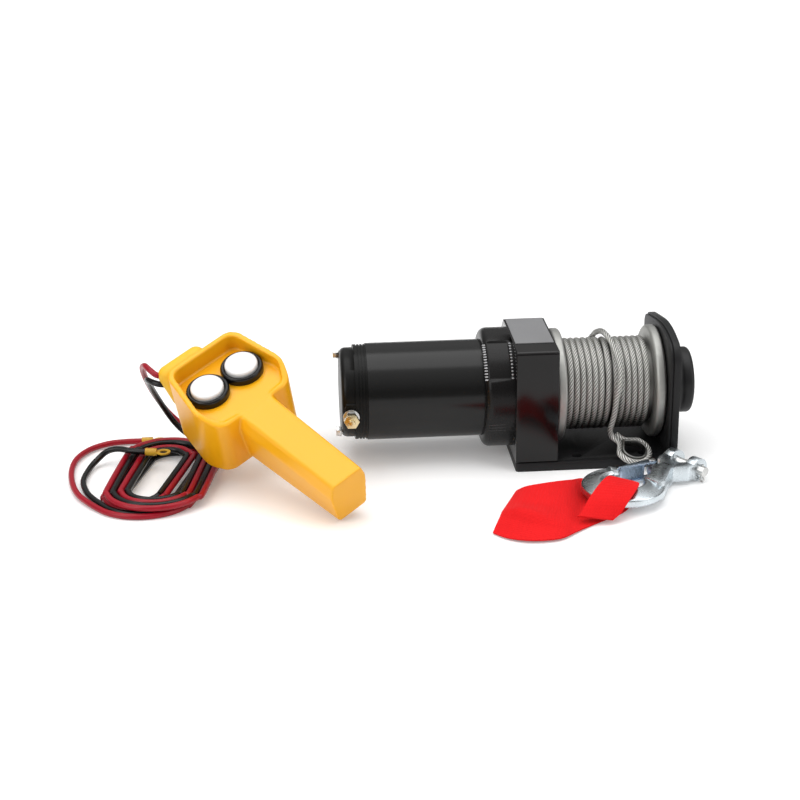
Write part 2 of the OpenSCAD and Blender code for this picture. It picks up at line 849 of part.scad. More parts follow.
// Round plate with three planet pins on its motor side
module carrier(x, t, arm, l) {
    disc(x, x + t, carrier_r);
    for (place = [0:planet_count - 1])
        on_axis(x - stage_gap - l) rotate([0, 0, 360 * place / planet_count]) translate([arm, 0, 0])
            cylinder(r = planet_pin_r, h = l + stage_gap + t);
}

module carrier_1() {
    color("#7f8286") {
        carrier(x_carrier1, carrier_t, arm_r, gear_l);
        on_axis(x_carrier1 + carrier_t) rotate([0, 0, sun_turn]) linear_extrude(gear_l + stage_gap)
            polygon(sun_outline(sun_teeth));
    }
}

module carrier_2() {
    color("#7f8286") {
        carrier(x_carrier2, carrier_t, arm_r, gear_l);
        on_axis(x_carrier2 + carrier_t) linear_extrude(last_gear_l + stage_gap)
            polygon(sun_outline(last_sun_teeth));
    }
}

module carrier_3() {
    color("#7f8286") {
        carrier(x_carrier3, last_carrier_t, last_arm_r, last_gear_l);
        disc(x_carrier3 + last_carrier_t, -drum_l / 2 + tube_seat, hub_r);
    }
}

module drum_bushes() {
    color("#b9955a") {
        difference() {
            disc(x_box1 - box_wall, x_box1, hub_r + bush_wall);
            disc(x_box1 - box_wall - cut, x_box1 + cut, hub_r + run_fit);
        }
        difference() {
            disc(x_liner, x_out, journal_r + bush_wall);
            disc(x_liner - cut, x_out + cut, journal_r + run_fit);
        }
    }
}

module drum_tube() {
    color("#8f9296") difference() {
        union() {
            disc(-drum_l / 2, drum_l / 2, tube_r);
            disc(drum_l / 2, x_out, journal_r);
        }
        disc(-drum_l / 2 - cut, -drum_l / 2 + tube_seat, hub_r);
        disc(-drum_l / 2, drum_l / 2 - bore_end, bore_r);
        disc(-drum_l / 2, x_out + cut, clutch_r + run_fit);
    }
}

// Flange with a dished outer face; side is -1 on the left and 1 on the right
module drum_flange(side, r) {
    color("#a6a9ac") difference() {
        turned([
            [side * drum_l / 2, r],
            [side * drum_l / 2, flange_r - flange_dish],
            [side * (drum_l / 2 + flange_dish), flange_r],
            [side * (x_flange - flange_dish), flange_r],
            [side * x_flange, flange_r - flange_dish],
            [side * x_flange, flange_r - flange_rim_w],
            [side * (x_flange - flange_dish), flange_r - flange_rim_w - flange_dish],
            [side * (x_flange - flange_dish), r + flange_rim_w],
            [side * x_flange, r + flange_rim_w],
            [side * x_flange, r]]);
    }
}

module left_flange() {
    drum_flange(-1, hub_r);
}

module right_flange() {
    drum_flange(1, journal_r);
}

module rope_core() {
    color("#8e9092") difference() {
        disc(-drum_l / 2, drum_l / 2, core_r);
        disc(-drum_l / 2 - cut, drum_l / 2 + cut, tube_r);
    }
}

// Pieces between two chosen points of a route
route_steps = 2;

// Outer layer: two groups of turns with a wider step where the rope crosses
rope_x0 = -drum_l / 2 + rope_d / 2 + rope_clear;
rope_pitch = (-2 * rope_x0 - rope_gap) / rope_turns;
function rope_x(turn) =
    rope_x0 + rope_pitch * turn + rope_gap * min(max(turn - rope_turns / 2 + 1 / 2, 0), 1);
rope_path = [for (i = [0:rope_turns * rope_rings])
    let(turn = i / rope_rings, a = 360 * turn - 90)
    [rope_x(turn), -rope_path_r * cos(a), axis_z + rope_path_r * sin(a)]];
// Straight run at each end of the winding, under the drum
rope_end_step = [0, -rope_d, 0];
rope_coil_path = concat([rope_path[0] - rope_end_step], rope_path,
    [rope_path[len(rope_path) - 1] + rope_end_step]);

module rope_winding() {
    color("#b2b5b7") skin(tube_rings(rope_coil_path, rope_d / 2, rope_sides, [1, 0, 0]));
}

// A spring along Z from zero to length l
function spring_path(r, l, curls, rings) =
    [for (i = [0:curls * rings])
        let(turn = i / rings)
        [r * cos(360 * turn), r * sin(360 * turn), l * turn / curls]];

x_collar = collar_x;
x_spring0 = x_collar + collar_l;
x_spring1 = drum_l / 2 - bore_end;
spring_rings = 8;

module clutch_shaft() {
    color("#9fa2a5") {
        disc(x_collar, x_collar + collar_l, collar_r);
        disc(x_collar, x_out + knob_gap + knob_t - knob_round, clutch_r);
    }
}

clutch_coil = spring_path(spring_r, x_spring1 - x_spring0 - 2 * (wire_r + spring_end), spring_curls, spring_rings);

module clutch_spring() {
    color("#3d4044") on_axis(x_spring0 + wire_r + spring_end)
        skin(tube_rings(clutch_coil, wire_r, coil_sides, [1, 0, 0]));
}

knob_x0 = x_out + knob_gap;
knob_x1 = knob_x0 + knob_t;

module clutch_knob() {
    color("#101113") difference() {
        turned([
            [knob_x0, 0],
            [knob_x0, knob_r - knob_waist],
            [knob_x0 + knob_waist, knob_r],
            [knob_x0 + knob_t * knob_waist_shares[0], knob_r],
            [knob_x0 + knob_t * knob_waist_shares[1], knob_r - knob_waist],
            [knob_x0 + knob_t * knob_waist_shares[2], knob_r],
            each [for (i = [0:corner_steps])
                let(a = 90 * i / corner_steps)
                [knob_x1 - knob_round * (1 - sin(a)), knob_r - knob_round * (1 - cos(a))]],
            [knob_x1, knob_r - 2 * knob_round],
            [knob_x1 - knob_dish, knob_r - 3 * knob_round],
            [knob_x1 - knob_dish, knob_boss_r],
            [knob_x1 - knob_dish / 2, knob_boss_r - knob_dish],
            [knob_x1 - knob_dish / 2, 0]]);
        disc(knob_x0 - cut, knob_x1 - knob_round, clutch_r + run_fit);
    }
}

// Frame of the thimble: long axis from its point to its round end
thimble_dir = unit(thimble_end - thimble_point);
thimble_level = unit([-thimble_dir[1], thimble_dir[0], 0]);
thimble_side = thimble_level * cos(thimble_tilt_angle) + cross(thimble_dir, thimble_level) * sin(thimble_tilt_angle);
thimble_l = norm(thimble_end - thimble_point);
thimble_path_r = thimble_r + thimble_wall + rope_d / 2;
thimble_centre = thimble_l - thimble_path_r - rope_d / 2;

// Point in the thimble's plane, s along it and w across it
function in_eye(s, w) = thimble_point + thimble_dir * s + thimble_side * w;

// Rope round the eye, from one side of the neck to the other
eye_angle = 118;
eye_steps = 16;
eye_path = concat(
    [in_eye(0, -rope_d * eye_start_share), in_eye(thimble_neck, -rope_d * eye_neck_share)],
    [for (i = [0:eye_steps])
        let(a = -eye_angle + 2 * eye_angle * i / eye_steps)
        in_eye(thimble_centre + thimble_path_r * cos(a), thimble_path_r * sin(a))],
    [in_eye(thimble_neck, rope_d * eye_neck_share), in_eye(0, rope_d * eye_start_share)]);
tail_path = concat(smooth(rope_route, route_steps), eye_path);

module rope_tail() {
    color("#a9acae") skin(tube_rings(tail_path, rope_d / 2, lead_sides, [1, 0, 0]));
}

// Puts a piece drawn with its length along X and flat in XY into the thimble's frame
module in_thimble() {
    n = cross(thimble_dir, thimble_side);
    multmatrix([
        [thimble_dir[0], thimble_side[0], n[0], thimble_point[0]],
        [thimble_dir[1], thimble_side[1], n[1], thimble_point[1]],
        [thimble_dir[2], thimble_side[2], n[2], thimble_point[2]],
        [0, 0, 0, 1]]) children();
}

// Outline of the eye: an arc of radius r closed by two straight sides that meet at neck
module eye_shape(r, neck) {
    polygon(concat(
        [[neck, 0]],
        [for (k = [-eye_steps:eye_steps])
            let(a = eye_angle * k / eye_steps)
            [thimble_centre + r * cos(a), r * sin(a)]]));
}

module thimble() {
    color("#9b9ea1") in_thimble() difference() {
        translate([0, 0, -thimble_w / 2])
            linear_extrude(thimble_w) eye_shape(thimble_r + thimble_wall, thimble_neck);
        translate([0, 0, -thimble_w / 2 - cut])
            linear_extrude(thimble_w + 2 * cut) eye_shape(thimble_r, thimble_neck + 2 * thimble_wall);
    }
}

// Puts a piece drawn about the hook's centre where the hook lies
module in_hook() {
    translate(hook_at) rotate([0, 0, hook_turn]) children();
}

hook_out = hook_r + hook_w;

module hook() {
    color("#a9b2ba") in_hook() difference() {
        union() {
            rotate([0, 0, hook_start_angle]) rotate_extrude(angle = hook_end_angle - hook_start_angle) polygon(rounded([
                [[hook_r, -hook_t / 2], hook_t / 5],
                [[hook_out, -hook_rim_t / 2], hook_rim_t / 3],
                [[hook_out, hook_rim_t / 2], hook_rim_t / 3],
                [[hook_r, hook_t / 2], hook_t / 5]]));
            rotate([0, 0, hook_start_angle]) translate([hook_r + hook_w / 2, 0, 0]) rotate([90, 0, 0])
                cylinder(r1 = tip_r, r2 = tip_r * tip_end_share, h = tip_l);
            translate([0, 0, -hook_t / 2]) linear_extrude(hook_t) polygon(rounded([
                [[hook_r * heel_shares[0], -hook_out * heel_shares[1]], hook_w / 4],
                [[hook_out + hook_w / 2, -shank_w * back_share], hook_w / 2],
                [[hook_reach - fork_depth - fork_root, -shank_w / 2], 0],
                [[hook_reach - fork_depth - fork_root, shank_w / 2], 0],
                [[latch_u + rivet_r * 2, shank_w / 2], rivet_r],
                [[latch_u - rivet_r * 2, shank_w * latch_seat_share], rivet_r],
                [[hook_r * throat_shares[0], -shank_w * throat_shares[1]], hook_r / 2],
                [[hook_r * inner_shares[0], -hook_r * inner_shares[1]], 0]]));
            translate([latch_u, latch_v, 0]) cylinder(r = rivet_r * lug_share, h = lug_t, center = true);
            translate([0, 0, -arm_t / 2]) linear_extrude(arm_t) polygon(rounded([
                [[hook_reach - fork_depth - 2 * fork_root, -shank_w / 2], 0],
                [[hook_reach - fork_depth - fork_root, -shank_w / 2], fork_r],
                [[hook_reach - fork_depth, -fork_w / 2], fork_r],
                [[hook_reach, -fork_w / 2], 0],
                [[hook_reach, fork_w / 2], 0],
                [[hook_reach - fork_depth, fork_w / 2], fork_r],
                [[hook_reach - fork_depth - fork_root, shank_w / 2], fork_r],
                [[hook_reach - fork_depth - 2 * fork_root, shank_w / 2], 0]]));
            translate([hook_reach, fork_w / 2, 0]) rotate([90, 0, 0]) cylinder(r = ear_r, h = fork_w);
        }
        translate([hook_reach - fork_depth + fork_gap / 2, 0, -ear_r - cut]) {
            cylinder(d = fork_gap, h = 2 * (ear_r + cut));
            translate([0, -fork_gap / 2, 0]) cube([fork_depth + 2 * ear_r, fork_gap, 2 * (ear_r + cut)]);
        }
        translate([hook_reach, fork_w / 2 + cut, 0]) rotate([90, 0, 0])
            cylinder(r = hook_pin_r + run_fit, h = fork_w + 2 * cut);
        translate([latch_u, latch_v, 0]) cylinder(r = rivet_r + run_fit, h = hook_t + 2 * cut, center = true);
        for (side = [-1, 1])
            translate([latch_u, latch_v, side * (lug_t + hook_t) / 2])
                cylinder(r = rivet_r * pocket_share, h = hook_t, center = true);
    }
}

latch_dir = [latch_tip_u - latch_u, latch_tip_v - latch_v];
latch_angle = atan2(latch_dir[1], latch_dir[0]);
latch_l = norm(latch_dir);

module in_latch() {
    in_hook() translate([latch_u, latch_v, 0]) rotate([0, 0, latch_angle]) children();
}

module hook_latch() {
    color("#93a7bd") in_latch() difference() {
        translate([0, 0, -latch_w / 2]) linear_extrude(latch_w) polygon(rounded([
            [[-latch_h / 2, -latch_h / 2], latch_h / 3],
            [[latch_h, -latch_h / 2], latch_h / 3],
            [[latch_l, -latch_t], 0],
            [[latch_l, latch_t / 2], 0],
            [[latch_h, latch_h / 2], latch_h / 3],
            [[-latch_h / 2, latch_h / 2], latch_h / 3]]));
        translate([0, 0, -latch_w / 2 + latch_t]) linear_extrude(latch_w - 2 * latch_t) polygon([
            [-latch_h, -latch_h],
            [web_x, -latch_h],
            [web_x, -latch_h / 2 + latch_t],
            [latch_h, -latch_h / 2 + latch_t],
            [latch_l - latch_nose, 0],
            [latch_l - latch_nose, latch_h],
            [-latch_h, latch_h]]);
        translate([0, 0, -latch_w / 2 - cut]) cylinder(r = rivet_r + run_fit, h = latch_w + 2 * cut);
    }
}

latch_coil = spring_path(rivet_r + 2 * latch_wire_r + run_fit, (latch_w / 2 - latch_t - lug_t / 2) * latch_coil_share,
    latch_curls, spring_rings);

module latch_spring() {
    color("#6d7278") in_latch() translate([0, 0, lug_t / 2 + 2 * latch_wire_r])
        skin(tube_rings(latch_coil, latch_wire_r, coil_sides, [1, 0, 0]));
}

module latch_rivet() {
    color("#8a8f95") in_latch() {
        cylinder(r = rivet_r, h = latch_w + latch_t, center = true);
        for (side = [-1, 1])
            translate([0, 0, side * (latch_w + latch_t + run_fit) / 2])
                cylinder(r = rivet_r * rivet_head_share, h = latch_t - run_fit, center = true);
    }
}

pin_head = 3;
pin_over = 6;

module at_clevis() {
    in_hook() translate([hook_reach, 0, 0]) rotate([90, 0, 0]) children();
}

module clevis_pin() {
    color("#b7bcc0") at_clevis() difference() {
        union() {
            translate([0, 0, -fork_w / 2 - pin_head]) cylinder(r = hook_pin_r, h = fork_w + pin_head + pin_over);
            translate([0, 0, -fork_w / 2 - pin_head]) cylinder(r = hook_pin_r * pin_head_share, h = pin_head);
        }
        translate([0, 0, fork_w / 2 + pin_over / 2]) rotate([90, 0, 0])
            cylinder(r = cotter_r + run_fit, h = 3 * hook_pin_r, center = true);
    }
}

module cotter_pin() {
    color("#c3c7ca") at_clevis() translate([0, 0, fork_w / 2 + pin_over / 2]) rotate([90, 0, 0]) {
        cylinder(r = cotter_r, h = 2 * hook_pin_r + 3 * cotter_r, center = true);
        translate([0, 0, hook_pin_r + 3 * cotter_r]) rotate([0, 90, 0])
            rotate_extrude() translate([2 * cotter_r, 0]) circle(r = cotter_r * cotter_ring_share, $fn = ring_fn);
    }
}

// Ring of points round the strap between its two edges
function strap_ring(station, crown) =
    let(
        far = station[0],
        near = station[1],
        n = unit(station[2]),
        rows = [for (i = [0:strap_points - 1]) i / (strap_points - 1)],
        half = [for (s = rows) strap_t / 2 * (strap_edge_share + (1 - strap_edge_share) * sin(180 * s))]
    )
    concat(
        [for (k = [0:strap_points - 1]) mix(far, near, rows[k]) + n * (half[k] + crown * sin(180 * rows[k]))],
        [for (k = [strap_points - 1:-1:0]) mix(far, near, rows[k]) - n * half[k]]);

// Crown of the strap along its body, flat where it passes under the hook
strap_rows = concat(strap_body, strap_flap);
crown_rows = 5;
function strap_swell(i) = i < crown_rows ? strap_crown * sin(180 * i / crown_rows) : 0;

module pull_strap() {
    color("#ee2328") translate([0, front_y, 0]) skin([for (i = [0:len(strap_rows) - 1]) strap_ring(strap_rows[i], strap_swell(i))]);
}

// Puts a piece drawn in the hand control's own frame where it lies
module in_hand() {
    translate(hand_at) rotate(hand_turn) children();
}

// Outline of the head, drawn in by inset, open to the handle when reach is more than zero
function head_outline(inset, reach) =
    let(
        half = head_w / 2 - inset,
        back = -head_back + inset,
        back_half = head_w / 2 * head_back_share - inset,
        front = head_front - inset,
        front_half = head_w / 2 * head_front_share - inset,
        neck = handle_top_w / 2 + handle_bulge - inset,
        r = head_corner_r - inset
    )
    rounded([
        [[back, -back_half], r],
        [[head_bend, -half], 2 * r],
        [[front, -front_half], r],
        [[front + r / 4, -neck], r / 3],
        [[front + r + reach, -neck], 0],
        [[front + r + reach, neck], 0],
        [[front + r / 4, neck], r / 3],
        [[front, front_half], r],
        [[head_bend, half], 2 * r],
        [[back, back_half], r]]);

// Head block from depth n0 to n1, drawn in by inset
module head_block(n0, n1, inset) {
    translate([0, 0, n0]) linear_extrude(n1 - n0) polygon(head_outline(inset, 0));
}

// Section of the handle in width and depth, from its flat top at the height top
function handle_section(w, d, top, inset) =
    let(flat = w / 2 - inset, wide = w / 2 + handle_bulge - inset, under = wide * handle_under_share)
    rounded([
        [[-under, top - d + inset], handle_bulge],
        [[under, top - d + inset], handle_bulge],
        [[wide, top - handle_shoulder], 3 * handle_bulge],
        [[flat, top - inset], handle_bulge],
        [[-flat, top - inset], handle_bulge],
        [[-wide, top - handle_shoulder], 3 * handle_bulge]]);

module handle_slab(u, w, d, top, inset) {
    translate([u, 0, 0]) rotate([90, 0, 90]) linear_extrude(cut) polygon(handle_section(w, d, top, inset));
}

handle_end = head_front + handle_l;

module handle_body(inset) {
    hull() {
        handle_slab(head_front + inset / 2, handle_top_w, handle_root_d, 0, inset);
        handle_slab(handle_end - inset - cut, handle_end_w, handle_end_d, -handle_drop, inset);
    }
}

// Everything above the sloping line of the tray's rim
module above_rim() {
    rotate([90, 0, 0]) linear_extrude(2 * head_w, center = true) polygon([
        [-2 * head_back, rim_back],
        [-head_back, rim_back],
        [head_bend, rim_bend],
        [head_front, 0],
        [2 * handle_end, 0],
        [2 * handle_end, 2 * head_d],
        [-2 * head_back, 2 * head_d]]);
}

module at_posts() {
    for (side = [-1, 1]) {
        translate([-head_back * post_u_share, side * head_w / 2 * post_v_share, 0]) children();
        translate([head_front * post_u_share, side * head_w / 2 * post_v_share, 0]) children();
    }
}

module at_buttons() {
    for (side = [-1, 1]) translate([0, side * button_gap / 2, 0]) children();
}

module handset_top() {
    color("#f7b51c") in_hand() {
        difference() {
            union() {
                head_block(-split_n, rim_back, 0);
                intersection() {
                    handle_body(0);
                    translate([0, -head_w, -split_n]) cube([2 * handle_end, 2 * head_w, head_d]);
                }
            }
            above_rim();
            linear_extrude(head_d) polygon(head_outline(tray_wall, handle_l));
            head_block(-split_n - cut, -shell_wall, shell_wall);
            intersection() {
                handle_body(shell_wall);
                translate([0, -head_w, -split_n - cut]) cube([2 * handle_end, 2 * head_w, head_d]);
            }
            at_buttons() translate([0, 0, -split_n]) cylinder(r = button_r + cap_gap, h = 2 * split_n);
        }
        at_posts() difference() {
            translate([0, 0, -split_n]) cylinder(r = post_r, h = split_n - shell_wall + cut);
            translate([0, 0, -split_n - cut]) cylinder(r = post_screw_r + run_fit, h = split_n / 2 + cut);
        }
    }
}

module handset_back() {
    color("#f2ab14") in_hand() difference() {
        union() {
            difference() {
                union() {
                    head_block(-head_d, -split_n, 0);
                    intersection() {
                        handle_body(0);
                        translate([0, -head_w, -2 * head_d]) cube([2 * handle_end, 2 * head_w, 2 * head_d - split_n]);
                    }
                }
                head_block(-head_d + shell_wall, -split_n + cut, shell_wall);
                intersection() {
                    handle_body(shell_wall);
                    translate([0, -head_w, -2 * head_d])
                        cube([2 * handle_end, 2 * head_w, 2 * head_d - split_n + cut]);
                }
            }
            at_posts() translate([0, 0, -head_d + shell_wall - cut])
                cylinder(r = post_r, h = head_d - shell_wall - split_n + cut);
            for (side = [-1, 1])
                translate([0, side * button_gap / 2, -head_d + shell_wall - cut])
                    cylinder(r = post_r, h = head_d - shell_wall + cut - contact_top - contact_h);
        }
        at_posts() translate([0, 0, -head_d - cut]) cylinder(r = post_screw_r + run_fit, h = head_d);
        at_posts() translate([0, 0, -head_d - cut]) cylinder(r = post_head_r + run_fit, h = post_head_h + cut);
    }
}

stem_end = split_n / 2 + cap_gap;
contact_top = stem_end + button_travel + contact_gap;

module handset_screws() {
    color("#53565a") in_hand() at_posts() translate([0, 0, -head_d + post_head_h])
        cap_screw(head_d - split_n / 2 - post_head_h - clear, post_screw_r, post_head_r, post_head_h - run_fit);
}

module contact_block() {
    color("#26282b") in_hand() translate([-contact_w / 2, -button_gap / 2 - button_r / 2, -contact_top - contact_h])
        cube([contact_w, button_gap + button_r, contact_h]);
}

module button_boots() {
    color("#1b1c1e") in_hand() at_buttons() difference() {
        cylinder(r1 = button_r + boot_w, r2 = button_r + boot_w - boot_lean, h = boot_h);
        translate([0, 0, -cut]) cylinder(r = button_r + cap_gap, h = boot_h + 2 * cut);
    }
}

// Domed cap with its skirt and stem; side picks the button
module button(side) {
    color("#f4f4f2") in_hand() translate([0, side * button_gap / 2, 0]) {
        rotate_extrude() polygon([
            [0, -cap_skirt],
            [button_r, -cap_skirt],
            [button_r, cap_top - cap_crown],
            [button_r * cap_edge_shares[0], cap_top - cap_crown / 3],
            [button_r * cap_edge_shares[1], cap_top],
            [0, cap_top + cap_crown / 4]]);
        translate([0, 0, -stem_end]) cylinder(r = stem_r, h = stem_end);
    }
}

module button_in() {
    button(1);
}

module button_out() {
    button(-1);
}

module lead_boss() {
    color("#e8a51a") in_hand() difference() {
        hull() {
            translate([-head_back - boss_out, -boss_v0, boss_lift]) sphere(r = boss_r, $fn = soft_fn);
            translate([-head_back - boss_out, boss_v1, boss_lift]) sphere(r = boss_r, $fn = soft_fn);
            translate([-head_back + boss_r / 2, -boss_v0, -boss_sink]) sphere(r = boss_r, $fn = soft_fn);
            translate([-head_back + boss_r / 2, boss_v1, -boss_sink]) sphere(r = boss_r, $fn = soft_fn);
        }
        translate([0, 0, -head_d]) linear_extrude(2 * head_d) polygon(head_outline(0, 0));
    }
}

// Loops of a lead: in along the floor, up in half a turn, out again on top with some slack
function hank_point(k, lane) =
    let(
        first = hank_loops * hank_rings,
        climb = hank_rings / 2,
        in_turn = min(k, first + climb) / hank_rings,
        rise = min(max(k - first, 0), climb) / climb,
        out_turn = max(k - first - climb, 0) / hank_rings,
        start = min(2 * out_turn, 1),
        over = start * start * (3 - 2 * start),
        r = hank_r - strand_step * lane - 2 * strand_step * (in_turn - out_turn) + strand_step * start,
        a = 360 / hank_rings * (hank_start + k + 1 / 2),
        p = [(cos(a) > 0 ? hank_half : -hank_half) + r * cos(a), r * sin(a)],
        turn = hank_turn + hank_twist_angle * over
    )
    [
        hank_at[0] + hank_shift[0] * over + p[0] * cos(turn) - p[1] * sin(turn),
        hank_at[1] + hank_shift[1] * over + p[0] * sin(turn) + p[1] * cos(turn),
        lead_d / 2 + floor_gap + strand_step * rise * rise * (3 - 2 * rise) + hank_lift * over
    ];

hank_count = 2 * hank_loops * hank_rings + hank_rings / 2;
function hank_path(lane) =
    let(p = [for (k = [0:hank_count]) hank_point(k, lane)], n = len(p) - 1)
    concat([p[0] + unit(p[0] - p[1]) * lead_d], p, [p[n] + unit(p[n] - p[n - 1]) * lead_d]);
red_path = hank_path(0);
black_path = hank_path(1);

module red_coil() {
    color("#a31226") skin(tube_rings(red_path, lead_d / 2, coil_sides, [0, 0, 1]));
}

module black_coil() {
    color("#1a1b1d") skin(tube_rings(black_path, lead_d / 2, coil_sides, [0, 0, 1]));
}

// Free stretches of a lead: from its loops to the hand control, and from its terminal to the loops

module lead_stretches(up_route, end_route, path) {
    n = len(path) - 1;
    up_start = [path[n], path[n] + unit(path[n] - path[n - 1]) * lead_d];
    end_stop = [path[0] + unit(path[0] - path[1]) * lead_d, path[0]];
    skin(tube_rings(smooth(concat(up_start, up_route), route_steps), lead_d / 2, lead_sides, [0, 0, 1]));
    skin(tube_rings(smooth(concat(end_route, end_stop), route_steps), lead_d / 2, lead_sides, [0, 0, 1]));
}

module red_lead() {
    color("#a31226") lead_stretches(red_route, red_end_route, red_path);
}

module black_lead() {
    color("#1a1b1d") lead_stretches(black_route, black_end_route, black_path);
}

// Ring terminal at the free end of a lead, with its sleeve over the lead's end
module terminal(end_route) {
    p = end_route[0];
    d = unit(end_route[0] - end_route[1]);
    translate(p) rotate([0, 0, atan2(d[1], d[0])]) {
        difference() {
            union() {
                rotate([0, 90, 0]) cylinder(r = lead_d / 2 + terminal_sleeve, h = terminal_barrel, center = true);
                translate([terminal_barrel / 2 + terminal_ring_r, 0, -terminal_t / 2])
                    cylinder(r = terminal_ring_r, h = terminal_t);
                translate([0, -terminal_hole_r, -terminal_t / 2])
                    cube([terminal_barrel / 2 + terminal_ring_r, 2 * terminal_hole_r, terminal_t]);
            }
            translate([terminal_barrel / 2 + terminal_ring_r, 0, -terminal_t])
                cylinder(r = terminal_hole_r, h = 2 * terminal_t);
            rotate([0, -90, 0]) cylinder(r = lead_d / 2 + run_fit, h = terminal_barrel);
        }
    }
}

module ring_terminals() {
    color("#c8b25a") {
        terminal(red_end_route);
        terminal(black_end_route);
    }
}

echo(rope_gap_to_itself = self_gap(rope_path, rope_d, rope_rings / 2));
echo(lead_gap_to_itself = min(self_gap(red_path, lead_d, hank_rings / 2), self_gap(black_path, lead_d, hank_rings / 2)));
echo(spring_gap_to_itself = self_gap(clutch_coil, 2 * wire_r, spring_rings / 2));

base_frame();
end_plate();
end_liner();
frame_screws();
gearbox_cover();
top_plate();
ring_gear();
motor_flange();
motor_can();
field_magnets();
armature();
brush_gear();
end_cap();
tie_bolts();
terminal_studs();
terminal_nuts();
carrier_1();
carrier_2();
carrier_3();
planet(x_gear1, gear_l, arm_r, planet_teeth, 0);  // planet_1a
planet(x_gear1, gear_l, arm_r, planet_teeth, 1);  // planet_1b
planet(x_gear1, gear_l, arm_r, planet_teeth, 2);  // planet_1c
planet(x_gear2, gear_l, arm_r, planet_teeth, 0);  // planet_2a
planet(x_gear2, gear_l, arm_r, planet_teeth, 1);  // planet_2b
planet(x_gear2, gear_l, arm_r, planet_teeth, 2);  // planet_2c
planet(x_gear3, last_gear_l, last_arm_r, last_planet_teeth, 0);  // planet_3a
planet(x_gear3, last_gear_l, last_arm_r, last_planet_teeth, 1);  // planet_3b
planet(x_gear3, last_gear_l, last_arm_r, last_planet_teeth, 2);  // planet_3c
drum_bushes();
drum_tube();
left_flange();
right_flange();
rope_core();
rope_winding();
clutch_shaft();
clutch_spring();
clutch_knob();
rope_tail();
thimble();
hook();
hook_latch();
latch_spring();
latch_rivet();
clevis_pin();
cotter_pin();
pull_strap();
handset_top();
handset_back();
button_boots();
button_in();
button_out();
contact_block();
handset_screws();
lead_boss();
red_lead();
red_coil();
black_lead();
black_coil();
ring_terminals();
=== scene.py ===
"""Looks of the electric recovery winch: finishes, cords, strap, stage, lamps and camera.

Every length is in metres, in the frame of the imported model, unless a class says millimetres.
"""

import json
import logging
import math
from dataclasses import dataclass
from enum import Enum
from typing import Sequence

import bmesh
import bpy
from mathutils import Matrix, Vector


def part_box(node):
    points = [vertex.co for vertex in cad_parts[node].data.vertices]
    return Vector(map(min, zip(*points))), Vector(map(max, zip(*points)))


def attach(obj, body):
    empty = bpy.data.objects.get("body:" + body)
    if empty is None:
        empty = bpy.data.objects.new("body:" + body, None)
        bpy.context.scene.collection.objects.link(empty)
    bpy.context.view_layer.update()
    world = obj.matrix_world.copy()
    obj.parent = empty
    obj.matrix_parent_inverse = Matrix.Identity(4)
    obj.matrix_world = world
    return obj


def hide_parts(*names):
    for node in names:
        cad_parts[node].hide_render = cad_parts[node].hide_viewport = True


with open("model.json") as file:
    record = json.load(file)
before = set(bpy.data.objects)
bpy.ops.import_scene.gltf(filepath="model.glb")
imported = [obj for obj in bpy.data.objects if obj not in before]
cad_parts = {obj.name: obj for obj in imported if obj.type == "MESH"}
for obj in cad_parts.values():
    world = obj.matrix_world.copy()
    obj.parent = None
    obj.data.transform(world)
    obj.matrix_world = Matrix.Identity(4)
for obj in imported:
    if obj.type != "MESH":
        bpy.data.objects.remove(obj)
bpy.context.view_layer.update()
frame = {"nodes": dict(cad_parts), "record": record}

LOG = logging.getLogger("winch")
MM = 0.001
UP = Vector((0.0, 0.0, 1.0))
FULL_TURN = 2.0 * math.pi
EVEN = (1.0, 1.0, 1.0)
MIX_FACTOR, MIX_DARK, MIX_LIGHT, MIX_RESULT = 0, 6, 7, 2
WAVE_TURN = 6.28
Feeds = dict[str | int, object]
Outline = list[tuple[float, float]]
DOUBLES = 1e-6
FLAT = math.radians(0.5)
CARRIED_ANGLE = 35.0
ROUND_ANGLE = 60.0


def body_of_node(node: str) -> str:
    """Name of the body that carries a node.

    Args:
        node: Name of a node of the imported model.

    Returns:
        The body's name in the record.
    """
    bodies = frame["record"]["behaviour"]["bodies"]
    return next(body for body, nodes in bodies.items() if node in nodes)


def finish_name(name: str) -> str:
    """Name of a finish's material, apart from the names that the frame's own materials have."""
    return f"finish_{name}"


class Nodes:
    """Node tree with short calls to add nodes and feed their inputs."""

    def __init__(self, tree: bpy.types.NodeTree) -> None:
        """Holds the tree."""
        self.tree = tree

    def add(self, kind: str, feeds: Feeds | None = None, **values: object) -> bpy.types.Node:
        """Adds a node.

        Args:
            kind: Blender's identifier of the node.
            feeds: What its inputs get: a value, or a (node, output) pair that is linked.
            **values: Properties of the node.

        Returns:
            The new node.
        """
        node = self.tree.nodes.new(kind)
        for key, value in values.items():
            setattr(node, key, value)
        for key, value in (feeds or {}).items():
            if isinstance(value, tuple) and isinstance(value[0], bpy.types.Node):
                self.tree.links.new(value[0].outputs[value[1]], node.inputs[key])
            else:
                node.inputs[key].default_value = value
        return node

    def math(self, how: str, *feeds: object) -> bpy.types.Node:
        """Math node with its inputs fed in order."""
        return self.add("ShaderNodeMath", dict(enumerate(feeds)), operation=how)

    def vector(self, how: str, *feeds: object) -> bpy.types.Node:
        """Vector math node with its inputs fed in order."""
        keys = (0, "Scale") if how == "SCALE" else range(len(feeds))
        return self.add("ShaderNodeVectorMath", dict(zip(keys, feeds)), operation=how)


